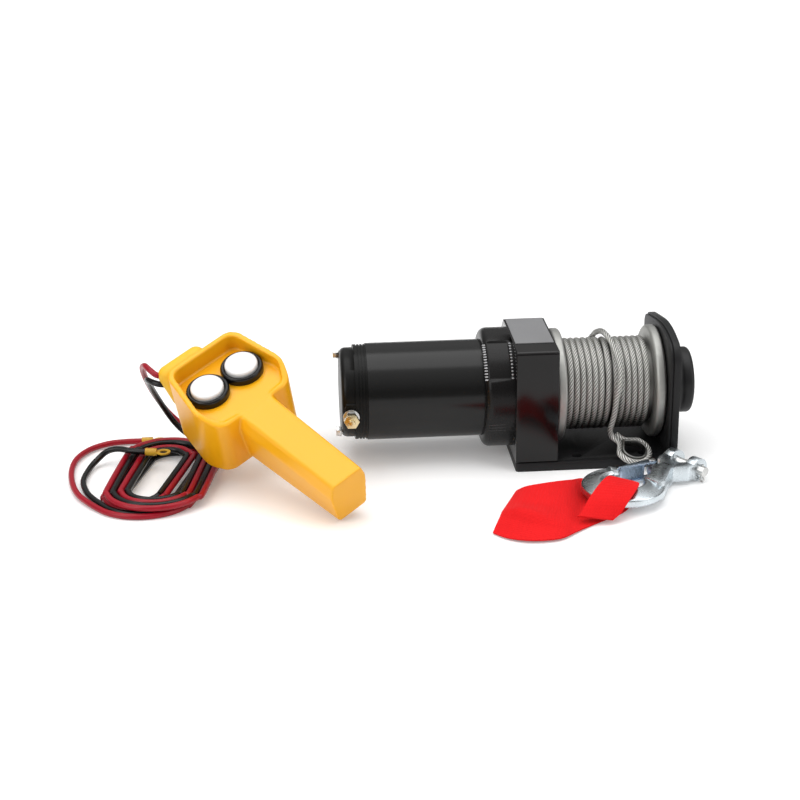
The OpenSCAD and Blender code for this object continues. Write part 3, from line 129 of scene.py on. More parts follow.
class Sheet(Nodes):
    """Node tree of one material, with its shader and output."""

    def __init__(self, name: str) -> None:
        """Starts a material of that name with its shader and output."""
        self.material = bpy.data.materials.new(finish_name(name))
        self.material.use_nodes = True
        super().__init__(self.material.node_tree)
        self.tree.nodes.clear()
        self.shader = self.add("ShaderNodeBsdfPrincipled")
        self.output = self.add("ShaderNodeOutputMaterial", {"Surface": (self.shader, "BSDF")})

    def set(self, **values: object) -> None:
        """Sets constants on the shader's own sockets, with underscores for spaces."""
        for key, value in values.items():
            self.shader.inputs[key.replace("_", " ")].default_value = value

    def drive(self, into: str, source: bpy.types.Node, out: str | int) -> None:
        """Links an output of a node to an input of the shader."""
        self.tree.links.new(source.outputs[out], self.shader.inputs[into])

    def noise(self, scale: float, detail: float = 3.0, stretch: Sequence[float] = EVEN) -> bpy.types.Node:
        """Noise on object coordinates.

        Args:
            scale: Features to the metre.
            detail: Octaves of the noise.
            stretch: How much finer the pattern is along each axis.

        Returns:
            The noise node, with its Fac output ready.
        """
        coords = self.add("ShaderNodeTexCoord")
        mapping = self.add("ShaderNodeMapping", {"Vector": (coords, "Object"), "Scale": stretch})
        return self.add("ShaderNodeTexNoise", {
            "Vector": (mapping, "Vector"), "Scale": scale, "Detail": detail,
        })

    def rough(self, fine: bpy.types.Node, level: float, spread: Sequence[float]) -> None:
        """Varies the roughness with a noise.

        Args:
            fine: The noise.
            level: The plain roughness.
            spread: Its lowest and its highest share.
        """
        low, high = spread
        varied = self.add("ShaderNodeMapRange", {
            "Value": (fine, "Fac"), "To Min": level * low, "To Max": level * high,
        })
        self.drive("Roughness", varied, "Result")

    def tint(self, source: bpy.types.Node, out: str | int, dark: Sequence[float],
             light: Sequence[float]) -> None:
        """Colours the shader between two colours by a 0 to 1 value."""
        mix = self.add("ShaderNodeMix", {
            MIX_FACTOR: (source, out), MIX_DARK: (*dark, 1.0), MIX_LIGHT: (*light, 1.0),
        }, data_type="RGBA")
        self.drive("Base Color", mix, MIX_RESULT)

    def bump(self, source: bpy.types.Node, out: str | int, depth: float, share: float) -> None:
        """Bumps the surface by a 0 to 1 value.

        Args:
            source: Node that gives the height.
            out: Its output.
            depth: Height of a full step in metres.
            share: Share of the bump that shows.
        """
        bump = self.add("ShaderNodeBump", {"Height": (source, out), "Strength": share, "Distance": depth})
        self.drive("Normal", bump, "Normal")


def scaled(colour: Sequence[float], share: float) -> tuple[float, ...]:
    """A colour made darker or lighter, no channel past 1."""
    return tuple(min(c * share, 1.0) for c in colour)


@dataclass(frozen=True)
class Gloss:
    """Moulded or painted surface with a soft sheen and a fine orange peel."""

    name: str
    colour: tuple[float, float, float]
    roughness: float = 0.3
    peel: float = 0.00003
    grain: float = 900.0
    drift: float = 0.12
    shine: float = 0.5
    patches: float = 22.0
    spread: tuple[float, float] = (0.8, 1.25)
    relief: float = 0.6

    def build(self) -> bpy.types.Material:
        """Builds the material."""
        sheet = Sheet(self.name)
        sheet.tint(sheet.noise(self.patches, 2.0), "Fac", scaled(self.colour, 1.0 - self.drift),
                   scaled(self.colour, 1.0 + self.drift))
        fine = sheet.noise(self.grain)
        sheet.rough(fine, self.roughness, self.spread)
        sheet.bump(fine, "Fac", self.peel, self.relief)
        sheet.set(Specular_IOR_Level=self.shine)
        return sheet.material


@dataclass(frozen=True)
class Metal:
    """Bare or plated metal with brushed or cast variation."""

    name: str
    colour: tuple[float, float, float]
    roughness: float = 0.3
    brush: tuple[float, float, float] = EVEN
    grain: float = 320.0
    depth: float = 0.00004
    drift: float = 0.18
    patches: float = 60.0
    light_share: float = 0.6
    spread: tuple[float, float] = (0.7, 1.4)
    relief: float = 0.7

    def build(self) -> bpy.types.Material:
        """Builds the material."""
        sheet = Sheet(self.name)
        sheet.tint(sheet.noise(self.patches, 4.0), "Fac", scaled(self.colour, 1.0 - self.drift),
                   scaled(self.colour, 1.0 + self.drift * self.light_share))
        fine = sheet.noise(self.grain, 5.0, self.brush)
        sheet.rough(fine, self.roughness, self.spread)
        sheet.bump(fine, "Fac", self.depth, self.relief)
        sheet.set(Metallic=1.0)
        return sheet.material


@dataclass(frozen=True)
class Wire:
    """Galvanised strands: fine wires that run along the rope, by the attribute of its lay.

    The strands are painted dark, as painted shade, where their surface is no farther from the rope's middle
    than groove, and light from crown on; the wires are painted darker between each other, also as painted
    shade.
    """

    name: str
    colour: tuple[float, float, float]
    roughness: float = 0.3
    wires: float = 30.0
    depth: float = 0.00012
    # groove, crown, wire_share and dark_share set the painted shade: darker towards the grooves between
    # strands and between wires.
    groove: float = 0.00202
    crown: float = 0.00238
    wire_share: float = 0.2
    dark_share: float = 0.1
    grain: float = 500.0
    spread: tuple[float, float] = (0.7, 1.5)
    relief: float = 0.8

    def build(self) -> bpy.types.Material:
        """Builds the material."""
        sheet = Sheet(self.name)
        place = sheet.add("ShaderNodeAttribute", attribute_name="lie")
        parts = sheet.add("ShaderNodeSeparateXYZ", {0: (place, "Vector")})
        angle = sheet.math("ARCTAN2", (parts, "Y"), (parts, "X"))
        wave = sheet.math("SINE", (sheet.math("MULTIPLY", (angle, 0), self.wires), 0))
        height = sheet.add("ShaderNodeMapRange", {"Value": (wave, 0), "From Min": -1.0})
        # Painted shade: the colour darkens towards the grooves between the strands and between the wires.
        away = sheet.vector("LENGTH", (place, "Vector"))
        groove_painted_shade = sheet.add("ShaderNodeMapRange", {
            "Value": (away, "Value"), "From Min": self.groove, "From Max": self.crown,
        })
        rest = sheet.math("MULTIPLY", (groove_painted_shade, "Result"), 1.0 - self.wire_share)
        painted_shade_level = sheet.math("MULTIPLY_ADD", (height, "Result"), self.wire_share, (rest, 0))
        sheet.tint(painted_shade_level, 0, scaled(self.colour, self.dark_share), self.colour)
        sheet.bump(height, "Result", self.depth, self.relief)
        sheet.rough(sheet.noise(self.grain), self.roughness, self.spread)
        sheet.set(Metallic=1.0)
        return sheet.material


@dataclass(frozen=True)
class Webbing:
    """Woven strap: ribs across the strap and finer threads along it, by UV in metres."""

    name: str
    colour: tuple[float, float, float]
    ribs: float = 620.0
    threads: float = 900.0
    depth: float = 0.00025
    patches: float = 45.0
    dark_share: float = 0.78
    roughness: float = 0.72
    relief: float = 0.7

    def build(self) -> bpy.types.Material:
        """Builds the material."""
        sheet = Sheet(self.name)
        coords = sheet.add("ShaderNodeTexCoord")
        ribs, threads = (
            sheet.add("ShaderNodeTexWave", {"Vector": (coords, "UV"), "Scale": scale / WAVE_TURN},
                      wave_type="BANDS", bands_direction=axis)
            for axis, scale in (("X", self.ribs), ("Y", self.threads))
        )
        weave = sheet.math("MULTIPLY", (ribs, "Fac"), (threads, "Fac"))
        sheet.tint(sheet.noise(self.patches, 4.0), "Fac", scaled(self.colour, self.dark_share), self.colour)
        sheet.bump(weave, 0, self.depth, self.relief)
        sheet.set(Roughness=self.roughness, Sheen_Weight=0.04, Sheen_Roughness=0.4, Specular_IOR_Level=0.08)
        return sheet.material


@dataclass(frozen=True)
class Jacket:
    """Soft cable jacket with a faint grain and dull gloss."""

    name: str
    colour: tuple[float, float, float]
    roughness: float = 0.34
    shine: float = 0.3
    patches: float = 90.0
    dark_share: float = 0.7
    grain: float = 1500.0
    depth: float = 0.00002
    spread: tuple[float, float] = (0.8, 1.3)
    relief: float = 0.5

    def build(self) -> bpy.types.Material:
        """Builds the material."""
        sheet = Sheet(self.name)
        sheet.tint(sheet.noise(self.patches), "Fac", scaled(self.colour, self.dark_share), self.colour)
        fine = sheet.noise(self.grain, 2.0)
        sheet.rough(fine, self.roughness, self.spread)
        sheet.bump(fine, "Fac", self.depth, self.relief)
        sheet.set(Specular_IOR_Level=self.shine)
        return sheet.material


class Finish(Enum):
    """Every finish on the winch, built once when first asked for."""

    MOTOR_BLACK = Gloss("motor_black", (0.004, 0.004, 0.0038), 0.2, peel=0.00001, drift=0.1, shine=0.3)
    CAP_BLACK = Gloss("cap_black", (0.004, 0.004, 0.0038), 0.32, peel=0.00001, drift=0.1, shine=0.16)
    HOUSING_BLACK = Gloss("housing_black", (0.004, 0.0035, 0.0035), 0.28, peel=0.00002, drift=0.1,
                          shine=0.22)
    # Pale grey on black ribs: a painted highlight for the glints that the housing's ribs catch.
    GLINT_PAINTED_GREY = Gloss("painted_glint_grey", (0.42, 0.42, 0.43), 0.35)
    BOX_BLACK = Gloss("box_black", (0.004, 0.0033, 0.0033), 0.16, peel=0.00002, drift=0.1, shine=0.32)
    RIB_GREY = Gloss("rib_grey", (0.03, 0.03, 0.03), 0.3)
    PLATE_BLACK = Gloss("plate_black", (0.009, 0.009, 0.0095), 0.46, peel=0.00005, grain=600.0, shine=0.25)
    LABEL_GREY = Gloss("label_grey", (0.2, 0.2, 0.205), 0.4)
    KNOB_BLACK = Gloss("knob_black", (0.008, 0.008, 0.0085), 0.42, peel=0.00005, grain=700.0, shine=0.3)
    SHELL_YELLOW = Gloss("shell_yellow", (0.9, 0.42, 0.006), 0.3, peel=0.00002, grain=1200.0, drift=0.04,
                         shine=0.4)
    BOSS_YELLOW = Gloss("boss_yellow", (0.88, 0.5, 0.015), 0.5, peel=0.0004, grain=1500.0, drift=0.1)
    BOOT_BLACK = Gloss("boot_black", (0.005, 0.005, 0.005), 0.24, peel=0.00002, drift=0.1, shine=0.3)
    CAP_WHITE = Gloss("cap_white", (0.72, 0.72, 0.715), 0.16, peel=0.00002, grain=500.0, drift=0.02)
    INNER_BLACK = Gloss("inner_black", (0.02, 0.02, 0.022), 0.5)
    BRUSH_BOARD = Gloss("brush_board", (0.3, 0.2, 0.1), 0.6)
    DRUM_ZINC = Metal("drum_zinc", (0.42, 0.42, 0.4), 0.52, grain=220.0, depth=0.00003)
    GEAR_STEEL = Metal("gear_steel", (0.42, 0.43, 0.45), 0.34)
    HOOK_ZINC = Metal("hook_zinc", (0.6, 0.65, 0.68), 0.26, grain=160.0, depth=0.000014, drift=0.12)
    LATCH_ZINC = Metal("latch_zinc", (0.45, 0.55, 0.68), 0.25, (1.0, 6.0, 1.0), 260.0, 0.00002)
    NUT_ZINC = Metal("nut_zinc", (0.6, 0.6, 0.59), 0.28)
    BRASS = Metal("brass", (0.66, 0.55, 0.33), 0.26)
    # Darker than the other plated metal: painted shade and painted dark reflection for the thimble at the
    # rope's eye.
    THIMBLE_PAINTED_SHADE = Metal("thimble_painted_shade", (0.2, 0.2, 0.19), 0.3)
    BRONZE = Metal("bronze", (0.5, 0.33, 0.16), 0.4)
    ROTOR = Metal("rotor", (0.3, 0.2, 0.12), 0.45, (8.0, 1.0, 1.0))
    MAGNET = Metal("magnet", (0.2, 0.2, 0.22), 0.6)
    SPRING = Metal("spring_steel", (0.3, 0.3, 0.32), 0.3)
    # The rope's colour carries painted shade in the grooves between strands and between wires.
    ROPE = Wire("wire_rope", (0.88, 0.87, 0.83), 0.32)
    STRAP = Webbing("webbing", (0.8, 0.012, 0.014))
    LEAD_RED = Jacket("lead_red", (0.36, 0.003, 0.016), 0.3)
    LEAD_BLACK = Jacket("lead_black", (0.005, 0.005, 0.005), 0.24)
    SLEEVE = Gloss("yellow_sleeve", (0.62, 0.36, 0.02), 0.45)

    def material(self) -> bpy.types.Material:
        """The finish's material, built at the first call."""
        return bpy.data.materials.get(finish_name(self.value.name)) or self.value.build()


def linked(name: str, data: object) -> bpy.types.Object:
    """New object of that name and data, in the scene."""
    piece = bpy.data.objects.new(name, data)
    bpy.context.scene.collection.objects.link(piece)
    return piece


def finished(piece: bpy.types.Object) -> bpy.types.Mesh:
    """Plain mesh that an object's modifiers give, with the object itself removed.

    Args:
        piece: The object.

    Returns:
        The new mesh.
    """
    bpy.context.view_layer.update()
    depsgraph = bpy.context.evaluated_depsgraph_get()
    mesh = bpy.data.meshes.new_from_object(piece.evaluated_get(depsgraph))
    piece.modifiers.clear()
    bpy.data.objects.remove(piece)
    return mesh


def new_piece(name: str, mesh: bpy.types.Mesh, finish: Finish, body: str, *nodes: str) -> bpy.types.Object:
    """Makes an object of a finished mesh and rides it on its body.

    Args:
        name: Name of the piece.
        mesh: Its mesh, in the frame's own place.
        finish: Its finish.
        body: Body that carries it.
        *nodes: Nodes that it replaces.

    Returns:
        The new object.
    """
    piece = linked(name, mesh)
    mesh.materials.clear()
    mesh.materials.append(finish.material())
    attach(piece, body)
    if nodes:
        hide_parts(*nodes)
    LOG.info("%s: %d faces on %s", name, len(mesh.polygons), body)
    return piece


def shade(mesh: bpy.types.Mesh, angle: float) -> None:
    """Shades a mesh smooth, with its sharp edges kept.

    Args:
        mesh: The mesh.
        angle: Edges sharper than this, in degrees, stay sharp.
    """
    mesh.polygons.foreach_set("use_smooth", [True] * len(mesh.polygons))
    mesh.set_sharp_from_angle(angle=math.radians(angle))
    mesh.update()


def mesh_of(bm: bmesh.types.BMesh, name: str, outward: bool = True) -> bpy.types.Mesh:
    """Turns a bmesh into a mesh and frees it.

    Args:
        bm: The bmesh.
        name: Name of the mesh.
        outward: Whether its faces still have to be turned outwards.

    Returns:
        The mesh.
    """
    if outward:
        bmesh.ops.recalc_face_normals(bm, faces=bm.faces)
    mesh = bpy.data.meshes.new(name)
    bm.to_mesh(mesh)
    bm.free()
    return mesh


def cad_copy(node: str) -> bpy.types.Mesh:
    """Copy of a node's mesh, with doubles merged and flat faces joined."""
    bm = bmesh.new()
    bm.from_mesh(frame["nodes"][node].data)
    bmesh.ops.remove_doubles(bm, verts=bm.verts, dist=DOUBLES)
    bmesh.ops.dissolve_limit(bm, angle_limit=FLAT, verts=bm.verts, edges=bm.edges)
    return mesh_of(bm, node, outward=False)


def carry(node: str, finish: Finish, edge: float = 0.0003) -> bpy.types.Object:
    """Carries a node over with softened edges and a finish.

    Args:
        node: Name of the node.
        finish: Its finish.
        edge: Width of the softened edges; 0 leaves them sharp.

    Returns:
        The piece that stands for the node.
    """
    mesh = cad_copy(node)
    if edge > 0.0:
        piece = linked(node, mesh)
        bevel = piece.modifiers.new("edge", "BEVEL")
        bevel.width = edge
        bevel.segments = 2
        bevel.limit_method = "ANGLE"
        bevel.angle_limit = math.radians(CARRIED_ANGLE)
        bevel.harden_normals = False
        bevel.miter_outer = "MITER_ARC"
        mesh = finished(piece)
    shade(mesh, CARRIED_ANGLE)
    return new_piece(f"{node}_dressed", mesh, finish, body_of_node(node), node)


def catmull(points: Sequence[Vector], pieces: int) -> list[Vector]:
    """Smooth path through given points.

    Args:
        points: The points.
        pieces: Pieces between each two points.

    Returns:
        Points along the path, its ends included.
    """
    last = len(points) - 1
    path = []
    for i in range(last):
        a, b, c, d = points[max(i - 1, 0)], points[i], points[i + 1], points[min(i + 2, last)]
        bend, twist = 2 * a - 5 * b + 4 * c - d, 3 * b - a - 3 * c + d
        for t in (k / pieces for k in range(pieces)):
            path.append((2 * b + (c - a) * t + bend * t * t + twist * t ** 3) / 2)
    path.append(points[-1].copy())
    return path


def around(sides: int) -> list[float]:
    """Angles of the points round a circle."""
    return [FULL_TURN * k / sides for k in range(sides)]


def path_frames(path: Sequence[Vector]) -> list[tuple[Vector, Vector]]:
    """Side and up at each point of a path, carried along without twist.

    Args:
        path: The points.

    Returns:
        One (side, up) for each point.
    """
    last = len(path) - 1
    side = UP.copy()
    result = []
    for i in range(len(path)):
        tangent = (path[min(i + 1, last)] - path[max(i - 1, 0)]).normalized()
        side = (side - tangent * side.dot(tangent)).normalized()
        result.append((side.copy(), tangent.cross(side)))
    return result


def tube_mesh(name: str, path: Sequence[Vector], radius: float, sides: int) -> bpy.types.Mesh:
    """Round tube along a path, with a UV map of turns and metres.

    Args:
        name: Name of the mesh.
        path: The points of its centreline.
        radius: Its radius.
        sides: Points round it.

    Returns:
        The closed mesh.
    """
    bm = bmesh.new()
    uv = bm.loops.layers.uv.new("UVMap")
    rings, runs = [], [0.0]
    for point, (side, up) in zip(path, path_frames(path)):
        spokes = (side * math.cos(a) + up * math.sin(a) for a in around(sides))
        rings.append([bm.verts.new(point + spoke * radius) for spoke in spokes])
    for a, b in zip(path, path[1:]):
        runs.append(runs[-1] + (b - a).length)
    for i in range(len(rings) - 1):
        for k in range(sides):
            n = (k + 1) % sides
            face = bm.faces.new((rings[i][k], rings[i][n], rings[i + 1][n], rings[i + 1][k]))
            near, far = k / sides, (k + 1) / sides
            spots = ((near, runs[i]), (far, runs[i]), (far, runs[i + 1]), (near, runs[i + 1]))
            for loop, spot in zip(face.loops, spots):
                loop[uv].uv = spot
    bm.faces.new(reversed(rings[0]))
    bm.faces.new(rings[-1])
    mesh = mesh_of(bm, name, outward=False)
    shade(mesh, 50.0)
    return mesh


def points_mm(rows: Sequence[Sequence[float]]) -> list[Vector]:
    """Points given in millimetres, as vectors in metres."""
    return [Vector(row) * MM for row in rows]


class Tree(Nodes):
    """Geometry Nodes tree with named inputs."""

    def __init__(self, name: str, inputs: Sequence[tuple[str, str]]) -> None:
        """Starts a tree with a geometry input and output and the named inputs.

        Args:
            name: Name of the tree.
            inputs: Name and kind of each input after the geometry, such as Int or Float.
        """
        super().__init__(bpy.data.node_groups.new(name, "GeometryNodeTree"))
        face = self.tree.interface
        face.new_socket("Geometry", in_out="INPUT", socket_type="NodeSocketGeometry")
        self.sockets = {
            label: face.new_socket(label, in_out="INPUT", socket_type=f"NodeSocket{kind}").identifier
            for label, kind in inputs
        }
        face.new_socket("Geometry", in_out="OUTPUT", socket_type="NodeSocketGeometry")
        self.source = self.add("NodeGroupInput")

    def end(self, node: bpy.types.Node, out: str) -> None:
        """Ends the tree: a node's geometry made real, with the material of the input of that name."""
        solid = self.add("GeometryNodeRealizeInstances", {"Geometry": (node, out)})
        paint = self.add("GeometryNodeSetMaterial", {
            "Geometry": (solid, "Geometry"), "Material": (self.source, "Material"),
        })
        self.add("NodeGroupOutput", {"Geometry": (paint, "Geometry")})

    def run(self, piece: bpy.types.Object, values: dict[str, object]) -> bpy.types.Mesh:
        """Runs the tree on an object and removes it.

        Args:
            piece: Object that carries the source geometry.
            values: Value of each named input.

        Returns:
            The new mesh, shaded smooth.
        """
        modifier = piece.modifiers.new("form", "NODES")
        modifier.node_group = self.tree
        for label, value in values.items():
            modifier[self.sockets[label]] = value
        mesh = finished(piece)
        shade(mesh, ROUND_ANGLE)
        return mesh


def curve_object(name: str, path: Sequence[Vector]) -> bpy.types.Object:
    """Open poly curve through points.

    Args:
        name: Name of the object.
        path: The points.

    Returns:
        The object.
    """
    data = bpy.data.curves.new(name, "CURVE")
    data.dimensions = "3D"
    data.twist_mode = "MINIMUM"
    spline = data.splines.new("POLY")
    spline.points.add(len(path) - 1)
    for point, place in zip(spline.points, path):
        point.co = (*place, 1.0)
    return linked(name, data)


def lay_tree() -> Tree:
    """Tree that lays strands round a curve and notes each point's place about the rope's middle."""
    tree = Tree("rope_lay", (
        ("Strands", "Int"), ("Arm", "Float"), ("Lay", "Float"), ("Strand Radius", "Float"),
        ("Sides", "Int"), ("Material", "Material"),
    ))
    source = tree.source
    copies = tree.add("GeometryNodeDuplicateElements", {
        "Geometry": (source, "Geometry"), "Amount": (source, "Strands"),
    }, domain="SPLINE")
    run = tree.add("GeometryNodeSplineParameter")
    turns = tree.math("DIVIDE", (run, "Length"), (source, "Lay"))
    share = tree.math("DIVIDE", (copies, "Duplicate Index"), (source, "Strands"))
    angle = tree.math("MULTIPLY", (tree.math("ADD", (turns, 0), (share, 0)), 0), FULL_TURN)
    normal = tree.add("GeometryNodeInputNormal")
    tangent = tree.add("GeometryNodeInputTangent")
    side = tree.vector("CROSS_PRODUCT", (tangent, 0), (normal, 0))
    out_n = tree.vector("SCALE", (normal, 0), (tree.math("COSINE", (angle, 0)), 0))
    out_s = tree.vector("SCALE", (side, 0), (tree.math("SINE", (angle, 0)), 0))
    offset = tree.vector("SCALE", (tree.vector("ADD", (out_n, 0), (out_s, 0)), 0), (source, "Arm"))
    place = tree.add("GeometryNodeInputPosition")
    geometry = (copies, "Geometry")
    named = {}
    for label, value in (("middle", place), ("across", normal), ("over", side)):
        store = tree.add("GeometryNodeStoreNamedAttribute", {
            "Geometry": geometry, "Name": label, "Value": (value, 0),
        }, data_type="FLOAT_VECTOR", domain="POINT")
        geometry = (store, "Geometry")
        named[label] = tree.add("GeometryNodeInputNamedAttribute", {"Name": label},
                                data_type="FLOAT_VECTOR")
    move = tree.add("GeometryNodeSetPosition", {"Geometry": geometry, "Offset": (offset, 0)})
    ring = tree.add("GeometryNodeCurvePrimitiveCircle", {
        "Resolution": (source, "Sides"), "Radius": (source, "Strand Radius"),
    }, mode="RADIUS")
    skin = tree.add("GeometryNodeCurveToMesh", {
        "Curve": (move, "Geometry"), "Profile Curve": (ring, "Curve"), "Fill Caps": True,
    })
    # Place about the rope's middle, which the rope's material uses for its painted shade.
    away = tree.vector("SUBTRACT", (place, 0), (named["middle"], 0))
    lie = tree.add("ShaderNodeCombineXYZ", {
        "X": (tree.vector("DOT_PRODUCT", (away, 0), (named["across"], 0)), "Value"),
        "Y": (tree.vector("DOT_PRODUCT", (away, 0), (named["over"], 0)), "Value"),
    })
    note = tree.add("GeometryNodeStoreNamedAttribute", {
        "Geometry": (skin, "Mesh"), "Name": "lie", "Value": (lie, 0),
    }, data_type="FLOAT_VECTOR", domain="POINT")
    tree.end(note, "Geometry")
    return tree


@dataclass
class Rope:
    """Wire rope: its outer layer on the drum and its free end with the eye.

    The eye and the drop are in millimetres.
    """

    diameter: float = 0.0048
    turns: int = 13
    crossing: float = 0.002
    side_gap: float = 0.0003
    lift: float = 0.0005
    strands: int = 6
    lay: float = 0.018
    rings_per_turn: int = 150
    first_turn: float = 0.25
    strand_sides: int = 8
    eye_point: tuple = (4, -36, 21)
    eye_end: tuple = (27, -60, 7.2)
    eye_r: float = 9.0
    eye_wall: float = 1.2
    eye_neck: float = 8.0
    eye_angle: float = 118.0
    eye_tilt: float = math.radians(11)
    eye_steps: int = 16
    point_share: float = 0.55
    neck_share: float = 0.62
    path_pieces: int = 6
    drop: tuple = (
        (-19, 10.7, 13.7), (-17, 27.6, 22.9), (-14.5, 38.2, 38.1), (-11, 41.1, 56.4), (-7, 35.7, 74.1),
        (-3.5, 24.2, 86.8), (-2.5, 16, 91.5), (-1.2, 8, 94.8), (0, 0, 96.2), (2, -8, 95), (4.2, -16, 91.2),
        (6, -24, 86), (7.2, -31, 79.6), (7.4, -36, 72), (6, -39.4, 63), (4, -40.5, 54), (3, -40.5, 44),
        (1.5, -39.8, 35), (0, -38, 27))

    def laid(self, name: str, path: Sequence[Vector]) -> bpy.types.Mesh:
        """Lays strands round a path.

        Args:
            name: Name of the mesh.
            path: Centreline of the rope.

        Returns:
            One mesh with every strand.
        """
        radius = self.diameter / 2
        sine = math.sin(math.pi / self.strands)
        strand_r = radius * sine / (1.0 + sine)
        mesh = lay_tree().run(curve_object(f"{name}_middle", path), {
            "Strands": self.strands, "Arm": radius - strand_r, "Lay": self.lay, "Strand Radius": strand_r,
            "Sides": self.strand_sides, "Material": Finish.ROPE.material(),
        })
        mesh.name = name
        return mesh

    def winding_path(self) -> list[Vector]:
        """Centreline of the outer layer, in two groups with a wider step between them."""
        low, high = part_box("rope_core")
        axis_z = (low.z + high.z) / 2
        radius = (high.z - low.z) / 2 + self.diameter / 2 + self.lift
        start = low.x + self.diameter / 2 + self.side_gap
        pitch = (-2 * start - self.crossing) / self.turns
        path = []
        for i in range(self.turns * self.rings_per_turn + 1):
            turn = i / self.rings_per_turn
            step = min(max(turn - self.turns / 2 + 0.5, 0.0), 1.0)
            a = FULL_TURN * (turn - self.first_turn)
            path.append(Vector((start + pitch * turn + self.crossing * step, -radius * math.cos(a),
                                axis_z + radius * math.sin(a))))
        return path

    def tail_path(self) -> list[Vector]:
        """Centreline of the free end: up the drum's back, over it, down its front and round the eye."""
        width = self.diameter / MM
        point, end = Vector(self.eye_point), Vector(self.eye_end)
        along = (end - point).normalized()
        level = Vector((-along.y, along.x, 0.0)).normalized()
        across = level * math.cos(self.eye_tilt) + along.cross(level) * math.sin(self.eye_tilt)
        path_r = self.eye_r + self.eye_wall + width / 2
        centre = (end - point).length - path_r - width / 2
        near, neck = width * self.point_share, width * self.neck_share
        spots = [(0, -near), (self.eye_neck, -neck)]
        for i in range(self.eye_steps + 1):
            a = math.radians(-self.eye_angle + 2 * self.eye_angle * i / self.eye_steps)
            spots.append((centre + path_r * math.cos(a), path_r * math.sin(a)))
        spots += [(self.eye_neck, neck), (0, near)]
        rows = [Vector(p) for p in self.drop] + [point + along * s + across * w for s, w in spots]
        return [p * MM for p in catmull(rows, self.path_pieces)]

    def build(self) -> None:
        """Builds the winding and the free end."""
        winding = self.laid("rope_winding_strands", self.winding_path())
        new_piece("rope_winding_strands", winding, Finish.ROPE, "drum", "rope_winding")
        carry("rope_core", Finish.ROPE, 0.0)
        path = self.tail_path()
        tail = new_piece("rope_end_strands", self.laid("rope_end_strands", path), Finish.ROPE,
                         body_of_node("rope_tail"), "rope_tail")
        # The thimble's dark metal colour is painted shade.
        thimble = carry("thimble", Finish.THIMBLE_PAINTED_SHADE)


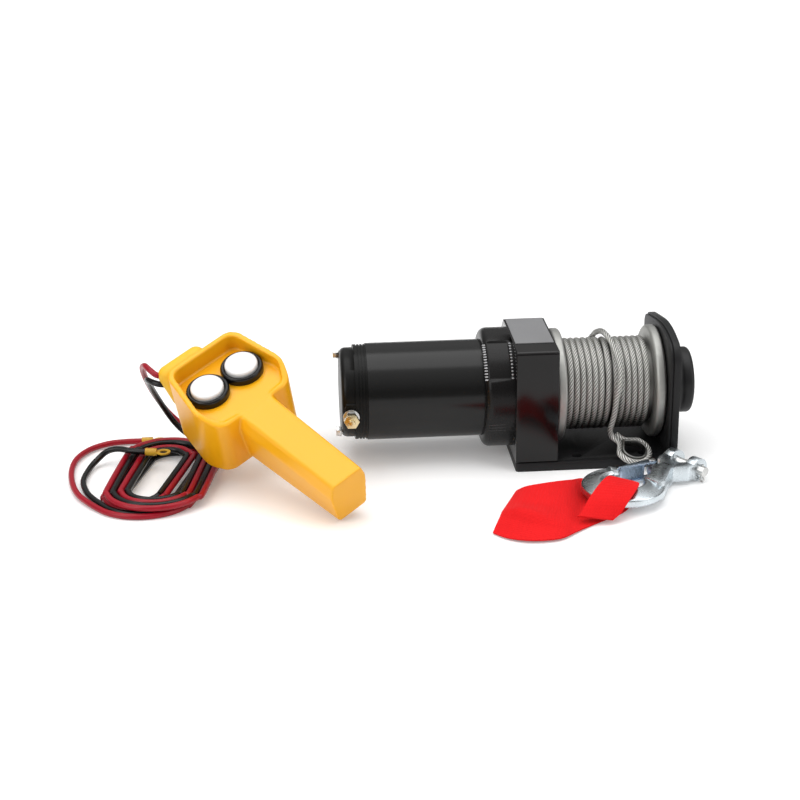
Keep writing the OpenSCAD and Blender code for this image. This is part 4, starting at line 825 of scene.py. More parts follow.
@dataclass
class Leads:
    """Red and black battery leads: one route each from the hand control to a ring terminal.

    The up and end routes are in millimetres.
    """

    diameter: float = 0.0048
    hank_at: tuple[float, float] = (-0.3585, -0.041)
    hank_turn: float = math.radians(75)
    hank_r: float = 0.042
    hank_half: float = 0.032
    hank_start: float = 9.5
    loops: int = 2
    rings: int = 24
    gap: float = 0.0005
    floor_gap: float = 0.0001
    sides: int = 16
    path_pieces: int = 4
    twist: float = math.radians(6)
    shift: tuple[float, float] = (0.0019, -0.0005)
    lift: float = 0.0006
    red_up: tuple = (
        (-332, 34, 9), (-343, 44, 13), (-355, 46, 25), (-364, 39, 43), (-369, 24, 62), (-370, 6, 78),
        (-367, -8, 85), (-363, -16, 84.5), (-357.5, -20.5, 81.5), (-352, -21, 80.6))
    black_up: tuple = (
        (-334.5, 28, 9), (-342, 34.5, 11.5), (-350.5, 37.5, 20.5), (-359, 32, 38), (-364, 18, 55),
        (-366, 2, 68), (-365.5, -9, 73.5), (-362, -16.5, 74.5), (-356.5, -20.5, 74), (-351, -21, 73.4))
    red_end: tuple = (
        (-372, 36, 3.3), (-379, 36, 3.3), (-390, 36, 3.3), (-404, 33, 3.3), (-418, 22, 3.3),
        (-427, 3, 3.3), (-429, -21, 3.3), (-426, -47, 3.3), (-420, -68, 3.3), (-411, -84, 3.3))
    black_end: tuple = (
        (-366, -14, 14), (-373, -13, 14), (-382, -10, 14), (-393, -4, 13.6), (-402, -2, 11),
        (-409, -6, 6.5), (-415, -18, 3.5), (-418, -42, 3.3), (-414, -63, 3.3), (-408.5, -76, 3.3),
        (-402, -86.5, 3.3))

    def hank_path(self, lane: int) -> list[Vector]:
        """Loops of one lead: in along the floor, up in half a turn, out again on top.

        Args:
            lane: 0 for the outer lead, 1 for the inner one.

        Returns:
            Points from the floor end to the top end.
        """
        step = self.diameter + self.gap
        first = self.loops * self.rings
        climb = self.rings // 2
        path = []
        for k in range(2 * first + climb + 1):
            inward = min(k, first + climb) / self.rings
            rise = min(max(k - first, 0), climb) / climb
            outward = max(k - first - climb, 0) / self.rings
            start = min(2 * outward, 1.0)
            over = start * start * (3 - 2 * start)
            r = self.hank_r - step * lane - 2 * step * (inward - outward) + step * start
            a = FULL_TURN / self.rings * (self.hank_start + k)
            x = math.copysign(self.hank_half, math.cos(a)) + r * math.cos(a)
            y = r * math.sin(a)
            turn = self.hank_turn + self.twist * over
            path.append(Vector((
                self.hank_at[0] + self.shift[0] * over + x * math.cos(turn) - y * math.sin(turn),
                self.hank_at[1] + self.shift[1] * over + x * math.sin(turn) + y * math.cos(turn),
                self.diameter / 2 + self.floor_gap + step * rise * rise * (3 - 2 * rise) + self.lift * over,
            )))
        return path

    def lead(self, name: str, lane: int, routes: Sequence[Sequence], finish: Finish,
             nodes: Sequence[str]) -> None:
        """Args:
            name: Name of the piece.
            lane: Lane of its loops.
            routes: Points from the loops to the hand control, and from the terminal to the loops.
            finish: Its finish.
            nodes: Nodes that it replaces.
        """
        up_route, end_route = (points_mm(route)[::-1] for route in routes)
        path = catmull(up_route + self.hank_path(lane)[::-1] + end_route, self.path_pieces)
        mesh = tube_mesh(name, path, self.diameter / 2, self.sides)
        piece = new_piece(name, mesh, finish, body_of_node(nodes[0]), *nodes)

    def build(self) -> None:
        """Builds both leads, with the terminals that they end in."""
        carry("ring_terminals", Finish.SLEEVE, 0.0)
        self.lead("red_battery_lead", 0, (self.red_up, self.red_end), Finish.LEAD_RED,
                  ("red_lead", "red_coil"))
        self.lead("black_battery_lead", 1, (self.black_up, self.black_end), Finish.LEAD_BLACK,
                  ("black_lead", "black_coil"))


def combine(mesh: bpy.types.Mesh, others: Sequence[bpy.types.Mesh], how: str) -> bpy.types.Mesh:
    """Joins or cuts a mesh with others.

    Args:
        mesh: The mesh to work on.
        others: Closed meshes that it is joined with or cut by.
        how: UNION, DIFFERENCE or INTERSECT.

    Returns:
        The new mesh.
    """
    for other in others:
        piece, tool = linked("worked", mesh), linked("tool", other)
        cut = piece.modifiers.new("cut", "BOOLEAN")
        cut.operation = how
        cut.solver = "EXACT"
        cut.object = tool
        mesh = finished(piece)
        bpy.data.objects.remove(tool)
    return mesh


def soften(mesh: bpy.types.Mesh, voxel: float, rounds: int) -> bpy.types.Mesh:
    """Gives a closed mesh an even skin and rounds its edges.

    Args:
        mesh: The mesh.
        voxel: Size of the new faces.
        rounds: Rounds of smoothing.

    Returns:
        The new mesh.
    """
    piece = linked("softened", mesh)
    skin = piece.modifiers.new("skin", "REMESH")
    skin.mode = "VOXEL"
    skin.voxel_size = voxel
    skin.use_smooth_shade = True
    smooth = piece.modifiers.new("smooth", "SMOOTH")
    smooth.factor = 0.5
    smooth.iterations = rounds
    return finished(piece)


def arc(centre: Sequence[float], radius: float, start: float, sweep: float, steps: int) -> Outline:
    """Points of an arc.

    Args:
        centre: Its centre.
        radius: Its radius.
        start: Angle of its first point.
        sweep: Angle from its first point to its last.
        steps: Pieces of the arc.

    Returns:
        The points.
    """
    return [(centre[0] + radius * math.cos(start + sweep * k / steps),
             centre[1] + radius * math.sin(start + sweep * k / steps)) for k in range(steps + 1)]


def rounded_outline(corners: Sequence[tuple[float, float, float]], steps: int = 8) -> Outline:
    """Closed outline with round corners.

    Args:
        corners: Each corner's two coordinates and its radius.
        steps: Pieces of each round corner.

    Returns:
        The outline's points.
    """
    outline = []
    for i, (x, y, radius) in enumerate(corners):
        corner = Vector((x, y))
        if radius <= 0.0:
            outline.append((x, y))
            continue
        back = (Vector(corners[i - 1][:2]) - corner).normalized()
        ahead = (Vector(corners[(i + 1) % len(corners)][:2]) - corner).normalized()
        half = back.angle(ahead) / 2
        centre = corner + (back + ahead).normalized() * (radius / math.sin(half))
        first = corner + back * (radius / math.tan(half)) - centre
        last = corner + ahead * (radius / math.tan(half)) - centre
        start = math.atan2(first.y, first.x)
        sweep = (math.atan2(last.y, last.x) - start + math.pi) % FULL_TURN - math.pi
        outline += arc(centre, radius, start, sweep, steps)
    return outline


def loft(low: Sequence[Sequence[float]], high: Sequence[Sequence[float]]) -> bpy.types.Mesh:
    """Closed mesh between two outlines with as many points each.

    Args:
        low: Points of the first outline.
        high: Points of the second.

    Returns:
        The mesh.
    """
    bm = bmesh.new()
    below, above = ([bm.verts.new(point) for point in outline] for outline in (low, high))
    bm.faces.new(reversed(below))
    bm.faces.new(above)
    for i in range(len(below)):
        n = (i + 1) % len(below)
        bm.faces.new((below[i], below[n], above[n], above[i]))
    return mesh_of(bm, "loft")


def prism(outline: Outline, low: float, high: float) -> bpy.types.Mesh:
    """Upright prism over an outline, from one height to another."""
    return loft([(x, y, low) for x, y in outline], [(x, y, high) for x, y in outline])


def lathe(profile: Outline, sides: int) -> bpy.types.Mesh:
    """Turned piece about the Z axis.

    Args:
        profile: Radius and height of each point. It starts and ends on the axis, or at one point.
        sides: Points round it.

    Returns:
        The closed mesh.
    """
    bm = bmesh.new()
    rings = []
    round_trip = profile[0] == profile[-1]
    for radius, height in profile[:-1] if round_trip else profile:
        spots = [(radius * math.cos(a), radius * math.sin(a), height) for a in around(sides)]
        rings.append([bm.verts.new(spot) for spot in (spots if radius > DOUBLES else spots[:1])])
    if round_trip:
        rings.append(rings[0])
    for one, two in zip(rings, rings[1:]):
        for k in range(sides):
            n = (k + 1) % sides
            corners = one[k % len(one)], one[n % len(one)], two[n % len(two)], two[k % len(two)]
            bm.faces.new(list(dict.fromkeys(corners)))
    return mesh_of(bm, "lathe")


@dataclass
class HandControl:
    """Yellow hand control: shells, boots, caps and the boss where the leads enter. Sizes in millimetres."""

    at: tuple = (-303.5, -36.0, 79.0)
    turn: tuple = (20.7, 14.2, -50.9)
    head_w: float = 86.6
    head_d: float = 47.5
    back: float = 31.0
    bend: float = 19.3
    front: float = 38.0
    back_share: float = 0.785
    front_share: float = 0.8
    rim_back: float = 14.9
    rim_bend: float = 8.7
    corner_r: float = 12.0
    wall: float = 4.3
    handle_l: float = 105.0
    handle_top_w: float = 30.8
    handle_end_w: float = 27.8
    handle_root: float = 6.0
    bulge: float = 3.2
    shoulder: float = 11.0
    root_d: float = 46.0
    end_d: float = 38.0
    drop: float = 4.0
    under_share: float = 0.8
    clear: float = 20.0
    sky: float = 60.0
    button_gap: float = 34.0
    button_r: float = 13.0
    bore_top: float = 10.0
    boot_w: float = 4.0
    boot_h: float = 6.2
    boot_foot: float = 0.4
    boot_bevel: tuple = (0.1, 0.6)
    boot_side: tuple = (3.2, 3.4)
    boot_fold: float = 1.3
    cap_top: float = 9.0
    cap_skirt: float = 5.0
    cap_edge: float = 0.3
    cap_roll: float = 1.7
    cap_roll_end: float = 78.0
    cap_rim: tuple = ((2.2, 0.12), (2.7, 0.22), (3.3, 0.1))
    cap_dome: float = 0.35
    gap: float = 0.4
    bore_d: float = 17.0
    post_share: float = 0.62
    screw_r: float = 3.05
    screw_d: float = 2.4
    screw_reach: float = 5.0
    voxel: float = 0.85
    soft_rounds: int = 8
    boss_voxel: float = 0.6
    boss_rounds: int = 6
    sides: int = 72
    bore_sides: int = 64
    screw_sides: int = 32
    arc_steps: int = 8
    fold_steps: int = 6

    def place(self) -> Matrix:
        """Matrix from the control's own millimetres to the frame."""
        result = Matrix.Scale(MM, 4) @ Matrix.Translation(self.at)
        for axis, angle in zip("ZYX", reversed(self.turn)):
            result = result @ Matrix.Rotation(math.radians(angle), 4, axis)
        return result

    def outline(self, inset: float, reach: float) -> Outline:
        """Outline of the head.

        Args:
            inset: How far it is drawn in.
            reach: How far it is open towards the handle; 0 leaves it closed.

        Returns:
            The outline's points.
        """
        half = self.head_w / 2 - inset
        back = -self.back + inset
        back_half = self.head_w / 2 * self.back_share - inset
        front = self.front - inset
        front_half = self.head_w / 2 * self.front_share - inset
        neck = self.handle_top_w / 2 + self.bulge - inset
        r = self.corner_r - inset
        opening = [] if reach <= 0.0 else [
            (front + r / 4, -neck, r / 3), (front + r + reach, -neck, 0.0), (front + r + reach, neck, 0.0),
            (front + r / 4, neck, r / 3)]
        return rounded_outline([
            (back, -back_half, r), (self.bend, -half, 2 * r), (front, -front_half, r), *opening,
            (front, front_half, r), (self.bend, half, 2 * r), (back, back_half, r),
        ])

    def handle(self) -> bpy.types.Mesh:
        """Tapered handle between its root and its end section."""
        rows = []
        for u, w, d, top in (
            (self.front - self.handle_root, self.handle_top_w, self.root_d, 0.0),
            (self.front + self.handle_l, self.handle_end_w, self.end_d, -self.drop),
        ):
            wide = w / 2 + self.bulge
            under = wide * self.under_share
            rows.append([(u, v, n) for v, n in rounded_outline([
                (-under, top - d, self.bulge), (under, top - d, self.bulge),
                (wide, top - self.shoulder, 3 * self.bulge), (w / 2, top, self.bulge),
                (-w / 2, top, self.bulge), (-wide, top - self.shoulder, 3 * self.bulge)])])
        return loft(*rows)

    def above_rim(self) -> bpy.types.Mesh:
        """Everything above the sloping line of the tray's rim."""
        far = self.front + self.handle_l + self.clear
        outline = [(-2 * self.back, self.rim_back), (-self.back, self.rim_back), (self.bend, self.rim_bend),
                   (self.front, 0.0), (far, 0.0), (far, self.sky), (-2 * self.back, self.sky)]
        mesh = prism(outline, -self.head_w, self.head_w)
        mesh.transform(Matrix.Rotation(math.radians(90.0), 4, "X"))
        return mesh

    def bore(self, radius: float, low: float, high: float, at: Sequence[float],
             sides: int) -> bpy.types.Mesh:
        """Upright round cutter.

        Args:
            radius: Its radius.
            low: Height of its underside.
            high: Height of its top.
            at: Place of its axis.
            sides: Points round it.

        Returns:
            The closed mesh.
        """
        mesh = lathe([(0.0, low), (radius, low), (radius, high), (0.0, high)], sides)
        mesh.transform(Matrix.Translation((*at, 0.0)))
        return mesh

    def shell(self) -> bpy.types.Mesh:
        """Both shells as one soft body with the tray, the button bores and the screw recesses."""
        body = combine(prism(self.outline(0.0, 0.0), -self.head_d, self.rim_back), [self.handle()], "UNION")
        tray = prism(self.outline(self.wall, self.handle_l + self.clear), 0.0, self.sky)
        body = combine(body, [self.above_rim(), tray], "DIFFERENCE")
        body = soften(body, self.voxel, self.soft_rounds)
        cuts = []
        for side in (-1, 1):
            cuts.append(self.bore(self.button_r + self.gap, -self.bore_d, self.bore_top,
                                  (0.0, side * self.button_gap / 2), self.bore_sides))
            for u in (-self.back * self.post_share, self.front * self.post_share):
                v = side * self.head_w / 2 * self.post_share
                cuts.append(self.bore(self.screw_r, -self.head_d - self.screw_reach,
                                      -self.head_d + self.screw_d, (u, v), self.screw_sides))
        body = combine(body, cuts, "DIFFERENCE")
        body.transform(self.place())
        shade(body, 40.0)
        return body

    def turned(self, profile: Outline, side: int) -> bpy.types.Mesh:
        """Turned piece about the axis of one button, 1 or -1 for its side."""
        mesh = lathe(profile, self.sides)
        mesh.transform(self.place() @ Matrix.Translation((0.0, side * self.button_gap / 2, 0.0)))
        shade(mesh, 50.0)
        return mesh

    def boot(self) -> Outline:
        """Profile of a rubber boot round a button: a full bead that folds in against the cap."""
        outer, inner = self.button_r + self.boot_w, self.button_r + self.gap
        crest = (outer + inner) / 2
        foot, (low, high), fold = (inner, -self.boot_foot), self.boot_side, self.boot_fold
        bevel_w, bevel_h = self.boot_bevel
        profile = [foot, (outer - bevel_w, -self.boot_foot), (outer, bevel_h), (outer, low)]
        profile += [(crest + (outer - crest) * math.cos(a), high + (self.boot_h - high) * math.sin(a))
                    for a in (math.pi / 2 * k / self.arc_steps for k in range(self.arc_steps + 1))]
        profile += [(crest - (crest - inner) * math.sin(a), self.boot_h - fold + fold * math.cos(a))
                    for a in (math.pi / 2 * k / self.fold_steps for k in range(1, self.fold_steps + 1))]
        return [*profile, foot]

    def cap(self) -> Outline:
        """Profile of a white cap with a rolled edge, a faint rim and a low dome."""
        r, top, roll = self.button_r, self.cap_top, self.cap_roll
        low, edge = -self.cap_skirt, self.cap_edge
        profile = [(0.0, low), (r - edge, low), (r, low + edge)]
        profile += arc((r - roll, top - roll), roll, 0.0, math.radians(self.cap_roll_end), self.arc_steps)
        profile += [(r - inward, top - down) for inward, down in self.cap_rim]
        dome_r, down = r - self.cap_rim[-1][0], self.cap_rim[-1][1]
        return profile + [(share * dome_r, top + self.cap_dome * (1.0 - share * share) - down)
                          for share in (0.8, 0.6, 0.4, 0.2, 0.0)]

    def boss(self) -> bpy.types.Mesh:
        """Soft hump where the leads enter, grown over the head's back."""
        mesh = cad_copy("lead_boss")
        mesh.transform(self.place().inverted())
        mesh = soften(mesh, self.boss_voxel, self.boss_rounds)
        mesh.transform(self.place())
        shade(mesh, ROUND_ANGLE)
        return mesh

    def build(self) -> None:
        """Builds every piece of the hand control."""
        new_piece("hand_control_shell", self.shell(), Finish.SHELL_YELLOW, body_of_node("handset_top"),
                  "handset_top", "handset_back")
        for side, node, replaced in ((1, "button_in", ("button_boots",)), (-1, "button_out", ())):
            new_piece(f"boot_of_{node}", self.turned(self.boot(), side), Finish.BOOT_BLACK,
                      body_of_node("button_boots"), *replaced)
            new_piece(f"{node}_cap", self.turned(self.cap(), side), Finish.CAP_WHITE, body_of_node(node),
                      node)
        new_piece("lead_boss_grip", self.boss(), Finish.BOSS_YELLOW, body_of_node("lead_boss"),
                  "lead_boss")


@dataclass
class PullStrap:
    """Red webbing strap: laid on the floor, drawn under the hook, up through it and back over its bow.

    Each row has its far and its near point in millimetres. The hump and the crease lie on the first rows.
    """

    thickness: float = 0.0016
    edge_share: float = 0.7
    edge_run: float = 12.0
    rows_between: int = 5
    across: int = 28
    crest: float = 0.006
    crest_at: float = 0.62
    crest_rows: float = 5.0
    crest_first: float = 0.35
    crest_first_rows: float = 1.2
    crease: float = 0.0042
    crease_back: float = 0.16
    crease_front: float = 0.035
    crease_drift: float = 0.05
    crease_row: float = 1.9
    crease_rows: float = 1.5
    rows: tuple = (
        ((-84.8, -106.9, 8.0), (-110.4, -164.8, 1.2)), ((-77.9, -108.7, 12.0), (-101.5, -175.2, 1.8)),
        ((-66.5, -109.2, 14.0), (-89.3, -181.9, 2.4)), ((-53.2, -103.7, 13.0), (-74.9, -183.4, 2.4)),
        ((-40.5, -92.8, 9.0), (-61.1, -180.2, 2.2)), ((-27.6, -74.3, 1.2), (-48.2, -169.1, 1.8)),
        ((-22, -92, 1), (-31, -155, 1)), ((-15, -99, 1), (-9, -139, 1)), ((-12, -106, 1), (1, -124, 1)),
        ((-12, -109, 2.5), (1.5, -122, 2.5)), ((-12, -109, 7), (2, -121.5, 7)),
        ((-12, -109, 14), (2, -121.5, 14)), ((-13, -110, 18), (3, -123, 18)),
        ((-17, -114, 19.4), (5, -129, 19.4)), ((-25, -126, 19), (1, -138, 19)),
        ((-36, -143, 15), (-6, -147, 14.5)), ((-43, -153, 9.4), (-13, -153, 7.4)),
        ((-47, -158, 8.4), (-20, -157, 3.4)))

    def lift(self, along: float, across: float) -> float:
        """Height that the cloth gains from its hump and its crease.

        Args:
            along: Place along the strap, in rows of the table.
            across: Share of the width from the far edge.

        Returns:
            The height in metres.
        """
        fade = max(0.0, 1.0 - along / self.crest_rows)
        start = min(along / self.crest_first_rows, 1.0)
        side = across / self.crest_at if across < self.crest_at else (1.0 - across) / (1.0 - self.crest_at)
        share = self.crest_first + (1.0 - self.crest_first) * start
        hump = self.crest * math.sin(math.pi / 2 * side) ** 1.4 * fade ** 0.7 * share
        line = across - (self.crest_at + self.crease_drift * along)
        reach = self.crease_front if line > 0 else self.crease_back
        row = (along - self.crease_row) / self.crease_rows
        return hump + self.crease * math.exp(-(line / reach) ** 2) * math.exp(-row ** 2)

    def grid(self) -> list[list[Vector]]:
        """Points of the strap's middle surface."""
        far, near = (catmull(points_mm(edge), self.rows_between) for edge in zip(*self.rows))
        shares = [k / (self.across - 1) for k in range(self.across)]
        return [[a.lerp(b, share) + UP * self.lift(i / self.rows_between, share) for share in shares]
                for i, (a, b) in enumerate(zip(far, near))]

    def normals(self, points: Sequence[Sequence[Vector]]) -> list[list[Vector]]:
        """Directions in which the strap's first face looks.

        Args:
            points: Rows of points of the middle surface.

        Returns:
            One direction for each point.
        """
        last_row, last = len(points) - 1, self.across - 1
        normals = []
        for i, row in enumerate(points):
            line = []
            for k in range(self.across):
                ahead = points[min(i + 1, last_row)][k] - points[max(i - 1, 0)][k]
                over = row[min(k + 1, last)] - row[max(k - 1, 0)]
                line.append(over.cross(ahead).normalized())
            normals.append(line)
        sign = 1.0 if normals[0][0].dot(UP) > 0 else -1.0
        return [[normal * sign for normal in line] for line in normals]

    def mesh(self, points: Sequence[Sequence[Vector]]) -> tuple[bpy.types.Mesh, float, float]:
        """Cloth over the middle surface, thinner at its two long edges.

        Args:
            points: Rows of points.

        Returns:
            The mesh, the strap's length and its area.
        """
        normals = self.normals(points)
        rows, last, middle = len(points), self.across - 1, self.across // 2
        runs = [0.0]
        for a, b in zip(points, points[1:]):
            runs.append(runs[-1] + (b[middle] - a[middle]).length)
        bm = bmesh.new()
        uv = bm.loops.layers.uv.new("UVMap")
        layers, place = [], {}
        for reach in (self.thickness / 2, -self.thickness / 2):
            layers.append([])
            for row, line, run in zip(points, normals, runs):
                width = (row[-1] - row[0]).length
                layers[-1].append([])
                for k, (point, normal) in enumerate(zip(row, line)):
                    share = k / last
                    edge = min(1.0, self.edge_run * min(share, 1.0 - share))
                    thin = self.edge_share + (1.0 - self.edge_share) * edge
                    vert = bm.verts.new(point + normal * reach * thin)
                    place[vert] = (run, share * width)
                    layers[-1][-1].append(vert)
        top, under = layers
        quads = []
        for i in range(rows - 1):
            for k in range(last):
                quads.append((top[i][k], top[i][k + 1], top[i + 1][k + 1], top[i + 1][k]))
                quads.append((under[i][k], under[i + 1][k], under[i + 1][k + 1], under[i][k + 1]))
            quads += [(top[i][k], top[i + 1][k], under[i + 1][k], under[i][k]) for k in (0, last)]
        for i in (0, rows - 1):
            quads += [(top[i][k], top[i][k + 1], under[i][k + 1], under[i][k]) for k in range(last)]
        for quad in quads:
            for loop in bm.faces.new(quad).loops:
                loop[uv].uv = place[loop.vert]
        area = sum(face.calc_area() for face in bm.faces) / 2
        mesh = mesh_of(bm, "pull_strap_cloth")
        shade(mesh, ROUND_ANGLE)
        return mesh, runs[-1], area

    def build(self) -> None:
        points = self.grid()
        mesh, length, area = self.mesh(points)
        strap = new_piece("pull_strap_cloth", mesh, Finish.STRAP, body_of_node("pull_strap"), "pull_strap")


def rib_tree() -> Tree:
    """Tree that sets a row of ribs on an arc about the drum's axis, each turned to face away from it."""
    tree = Tree("arc_of_ribs", (
        ("Count", "Int"), ("Start", "Float"), ("Step", "Float"), ("Radius", "Float"), ("Centre", "Vector"),
        ("Size", "Vector"), ("Material", "Material"),
    ))
    source = tree.source
    index = tree.add("GeometryNodeInputIndex")
    angle = tree.math("MULTIPLY_ADD", (index, 0), (source, "Step"), (source, "Start"))
    spoke = tree.add("ShaderNodeCombineXYZ", {
        "Y": (tree.math("SINE", (angle, 0)), 0), "Z": (tree.math("COSINE", (angle, 0)), 0),
    })
    spots = tree.add("GeometryNodePoints", {
        "Count": (source, "Count"), "Position": (tree.vector("SCALE", (spoke, 0), (source, "Radius")), 0),
    })
    facing = tree.add("FunctionNodeAlignEulerToVector", {"Vector": (spoke, 0)}, axis="Z", pivot_axis="X")
    rib = tree.add("GeometryNodeMeshUVSphere", {"Segments": 10, "Rings": 6, "Radius": 1.0})
    many = tree.add("GeometryNodeInstanceOnPoints", {
        "Points": (spots, "Points"), "Instance": (rib, "Mesh"), "Rotation": (facing, 0),
        "Scale": (source, "Size"),
    })
    shift = tree.add("GeometryNodeTransform", {
        "Geometry": (many, "Instances"), "Translation": (source, "Centre"),
    })
    tree.end(shift, "Geometry")
    return tree


@dataclass(frozen=True)
class RibRow:
    """One row of moulded ribs on the housing. Lengths in millimetres, angles in degrees from the top."""

    station: float
    radius: float
    count: int
    start: float
    step: float
    size: tuple[float, float, float]
    finish: Finish


@dataclass
class GearHousing:
    """Rows of moulded ribs on the round gear housing; the first two rows are pale grey, a painted highlight
    for the glints on the black ribs.
    """

    axis_z: float = 53.5
    rows: tuple[RibRow, ...] = (
        # The first two rows carry a painted highlight: pale grey for the glints on black ribs.
        RibRow(-99.4, 45.8, 14, -24.0, -3.0, (1.9, 0.7, 0.7), Finish.GLINT_PAINTED_GREY),
        RibRow(-79.3, 47.9, 12, -25.0, -3.4, (1.0, 0.7, 0.6), Finish.GLINT_PAINTED_GREY),
        RibRow(-91.5, 47.9, 3, -109.0, -3.6, (8.0, 0.3, 0.25), Finish.RIB_GREY),
    )

    def build(self) -> None:
        """Builds every row."""
        tree = rib_tree()
        for number, row in enumerate(self.rows, 1):
            mesh = tree.run(linked("ribs", bpy.data.meshes.new("ribs")), {
                "Count": row.count, "Start": math.radians(row.start), "Step": math.radians(row.step),
                "Radius": row.radius * MM, "Centre": (row.station * MM, 0.0, self.axis_z * MM),
                "Size": tuple(v * MM for v in row.size), "Material": row.finish.material(),
            })
            new_piece(f"housing_ribs_{number}", mesh, row.finish, body_of_node("ring_gear"))


@dataclass
class Carried:
    """Nodes whose shape is carried over: finish, width of the softened edges, and names."""

    rows: tuple[tuple[Finish, float, str], ...] = (
        (Finish.PLATE_BLACK, 0.0006, "base_frame"),
        (Finish.PLATE_BLACK, 0.0005, "end_plate"),
        (Finish.PLATE_BLACK, 0.0003, "end_liner"),
        (Finish.NUT_ZINC, 0.0002, "frame_screws"),
        (Finish.BOX_BLACK, 0.0012, "gearbox_cover"),
        (Finish.LABEL_GREY, 0.0, "top_plate"),
        (Finish.HOUSING_BLACK, 0.0, "ring_gear"),
        (Finish.GEAR_STEEL, 0.0, "motor_flange"),
        (Finish.MOTOR_BLACK, 0.0, "motor_can"),
        (Finish.MAGNET, 0.0, "field_magnets"),
        (Finish.ROTOR, 0.0, "armature"),
        (Finish.BRUSH_BOARD, 0.0, "brush_gear"),
        (Finish.CAP_BLACK, 0.0, "end_cap"),
        (Finish.NUT_ZINC, 0.0003, "tie_bolts"),
        (Finish.BRASS, 0.0003, "terminal_studs"),
        (Finish.NUT_ZINC, 0.0003, "terminal_nuts"),
        (Finish.GEAR_STEEL, 0.0, "carrier_1 carrier_2 carrier_3 planet_1a planet_1b planet_1c planet_2a "
                                 "planet_2b planet_2c planet_3a planet_3b planet_3c"),
        (Finish.BRONZE, 0.0, "drum_bushes"),
        (Finish.GEAR_STEEL, 0.0, "drum_tube"),
        (Finish.DRUM_ZINC, 0.0006, "left_flange right_flange"),
        (Finish.GEAR_STEEL, 0.0, "clutch_shaft"),
        (Finish.SPRING, 0.0, "clutch_spring"),
        (Finish.KNOB_BLACK, 0.0005, "clutch_knob"),
        (Finish.HOOK_ZINC, 0.0012, "hook"),
        (Finish.LATCH_ZINC, 0.0002, "hook_latch"),
        (Finish.SPRING, 0.0, "latch_spring"),
        (Finish.NUT_ZINC, 0.0002, "latch_rivet"),
        (Finish.NUT_ZINC, 0.0004, "clevis_pin"),
        (Finish.NUT_ZINC, 0.0, "cotter_pin"),
        (Finish.INNER_BLACK, 0.0, "contact_block"),
        (Finish.NUT_ZINC, 0.0, "handset_screws"),
    )

    def build(self) -> None:
        """Carries every node over."""
        for finish, edge, nodes in self.rows:
            for node in nodes.split():
                carry(node, finish, edge)


@dataclass(frozen=True)
class Lamp:
    """Soft rectangular lamp: its place, its width and height, and its power in watts."""

    name: str
    at: Vector
    size: tuple[float, float]
    power: float

    def build(self, target: Vector) -> None:
        """Hangs the lamp so that it faces the target."""
        light = bpy.data.lights.new(self.name, "AREA")
        light.shape = "RECTANGLE"
        light.size, light.size_y = self.size
        light.energy = self.power
        lamp = linked(self.name, light)
        lamp.location = self.at
        lamp.rotation_euler = (target - self.at).to_track_quat("-Z", "Y").to_euler()


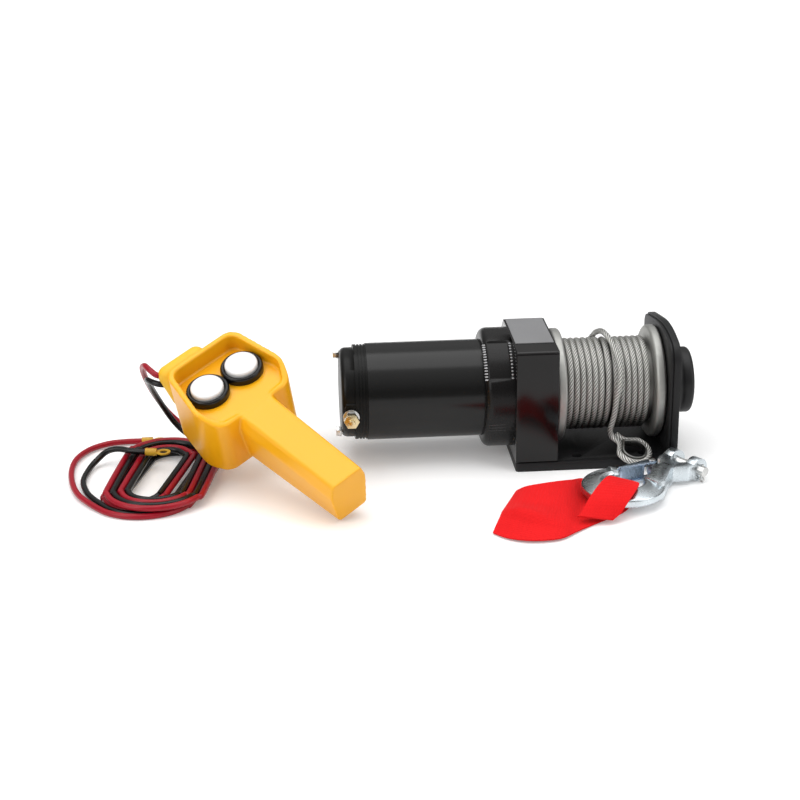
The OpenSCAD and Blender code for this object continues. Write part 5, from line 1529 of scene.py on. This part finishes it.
@dataclass
class Studio:
    """Pale floor, soft lamps and the camera at the photograph's viewing angle."""

    camera_at: Vector = Vector((-0.2676, -1.3391, 0.5627))
    yaw: float = math.radians(4.38)
    pitch: float = math.radians(21.09)
    roll: float = math.radians(-0.65)
    lens: float = 80.15
    sensor: float = 36.0
    floor_size: float = 8.0
    glow_from: tuple[float, float] = (0.35, 1.4)
    glow_to: tuple[float, float] = (0.16, 0.7)
    rise_from: tuple[float, float] = (0.3, 0.95)
    rise_to: tuple[float, float] = (0.25, 1.0)
    target: Vector = Vector((-0.15, 0.0, 0.03))
    lamps: tuple[Lamp, ...] = (
        Lamp("overhead", Vector((-0.15, 0.1, 1.4)), (1.8, 1.2), 12.0),
        Lamp("left", Vector((-1.5, -0.9, 0.9)), (1.0, 1.2), 11.0),
        Lamp("right", Vector((1.2, -0.8, 0.8)), (0.9, 1.2), 7.0),
    )

    def fade(self, nodes: Nodes, value: tuple[bpy.types.Node, object], source: Sequence[float],
             result: Sequence[float]) -> tuple[bpy.types.Node, str]:
        """Maps a value from one range onto another.

        Args:
            nodes: Tree that the node goes in.
            value: The (node, output) pair that gives the value.
            source: The value's range.
            result: The range that it is mapped onto.

        Returns:
            The (node, output) pair of the result.
        """
        node = nodes.add("ShaderNodeMapRange", {
            "Value": value, "From Min": source[0], "From Max": source[1],
            "To Min": result[0], "To Max": result[1],
        })
        return node, "Result"

    def floor(self) -> None:
        """Lays the pale floor, which is white to the camera away from the shadow."""
        sheet = Sheet("floor_white")
        sheet.set(Base_Color=(0.9, 0.9, 0.9, 1.0), Roughness=0.32, Specular_IOR_Level=0.35)
        path = sheet.add("ShaderNodeLightPath")
        rays = (path, "Is Camera Ray")
        for other in ("Is Glossy Ray", "Is Transmission Ray"):
            rays = (sheet.math("MAXIMUM", rays, (path, other)), 0)
        coords = sheet.add("ShaderNodeTexCoord")
        reach = sheet.vector("LENGTH", (coords, "Object"))
        glow = sheet.add("ShaderNodeEmission", {
            "Strength": self.fade(sheet, (reach, "Value"), self.glow_from, self.glow_to),
        })
        plain = (sheet.shader, "BSDF")
        both = sheet.add("ShaderNodeAddShader", {0: plain, 1: (glow, "Emission")})
        seen = sheet.add("ShaderNodeMixShader", {0: rays, 1: plain, 2: (both, "Shader")})
        sheet.tree.links.new(seen.outputs["Shader"], sheet.output.inputs["Surface"])
        half = self.floor_size / 2
        corners = [(-half, -half, 0), (half, -half, 0), (half, half, 0), (-half, half, 0)]
        mesh = bpy.data.meshes.new("floor")
        mesh.from_pydata(corners, [], [(0, 1, 2, 3)])
        mesh.materials.append(sheet.material)
        linked("floor", mesh)

    def world(self) -> None:
        """Sets a soft surround that is dim at the horizon and pale overhead."""
        world = bpy.data.worlds.new("studio")
        bpy.context.scene.world = world
        world.use_nodes = True
        nodes = Nodes(world.node_tree)
        nodes.tree.nodes.clear()
        coords = nodes.add("ShaderNodeTexCoord")
        parts = nodes.add("ShaderNodeSeparateXYZ", {0: (coords, "Generated")})
        pale = nodes.add("ShaderNodeBackground", {
            "Color": (1.0, 1.0, 1.0, 1.0),
            "Strength": self.fade(nodes, (parts, "Z"), self.rise_from, self.rise_to),
        })
        nodes.add("ShaderNodeOutputWorld", {"Surface": (pale, 0)})

    def camera(self) -> None:
        """Sets the camera."""
        level = math.cos(self.pitch)
        ahead = Vector((math.sin(self.yaw) * level, math.cos(self.yaw) * level, -math.sin(self.pitch)))
        right = Vector((math.cos(self.yaw), -math.sin(self.yaw), 0.0))
        up = right.cross(ahead)
        rolled_right = right * math.cos(self.roll) + up * math.sin(self.roll)
        rolled_up = up * math.cos(self.roll) - right * math.sin(self.roll)
        data = bpy.data.cameras.new("photo_camera")
        data.lens = self.lens
        data.sensor_width = self.sensor
        camera = linked("photo_camera", data)
        turned = Matrix((rolled_right, rolled_up, -ahead)).transposed().to_4x4()
        camera.matrix_world = Matrix.Translation(self.camera_at) @ turned
        bpy.context.scene.camera = camera

    def build(self) -> None:
        """Builds the whole studio."""
        self.floor()
        self.world()
        for lamp in self.lamps:
            lamp.build(self.target)
        self.camera()
        bpy.context.scene.view_settings.view_transform = "Standard"


def main() -> None:
    """Builds the studio and every sub-assembly."""
    logging.basicConfig(level=logging.INFO, format="%(name)s: %(message)s")
    for part in (Studio(), Leads(), Rope(), Carried(), GearHousing(), HandControl(), PullStrap()):
        part.build()
    bpy.context.view_layer.update()


if __name__ == "__main__":
    main()
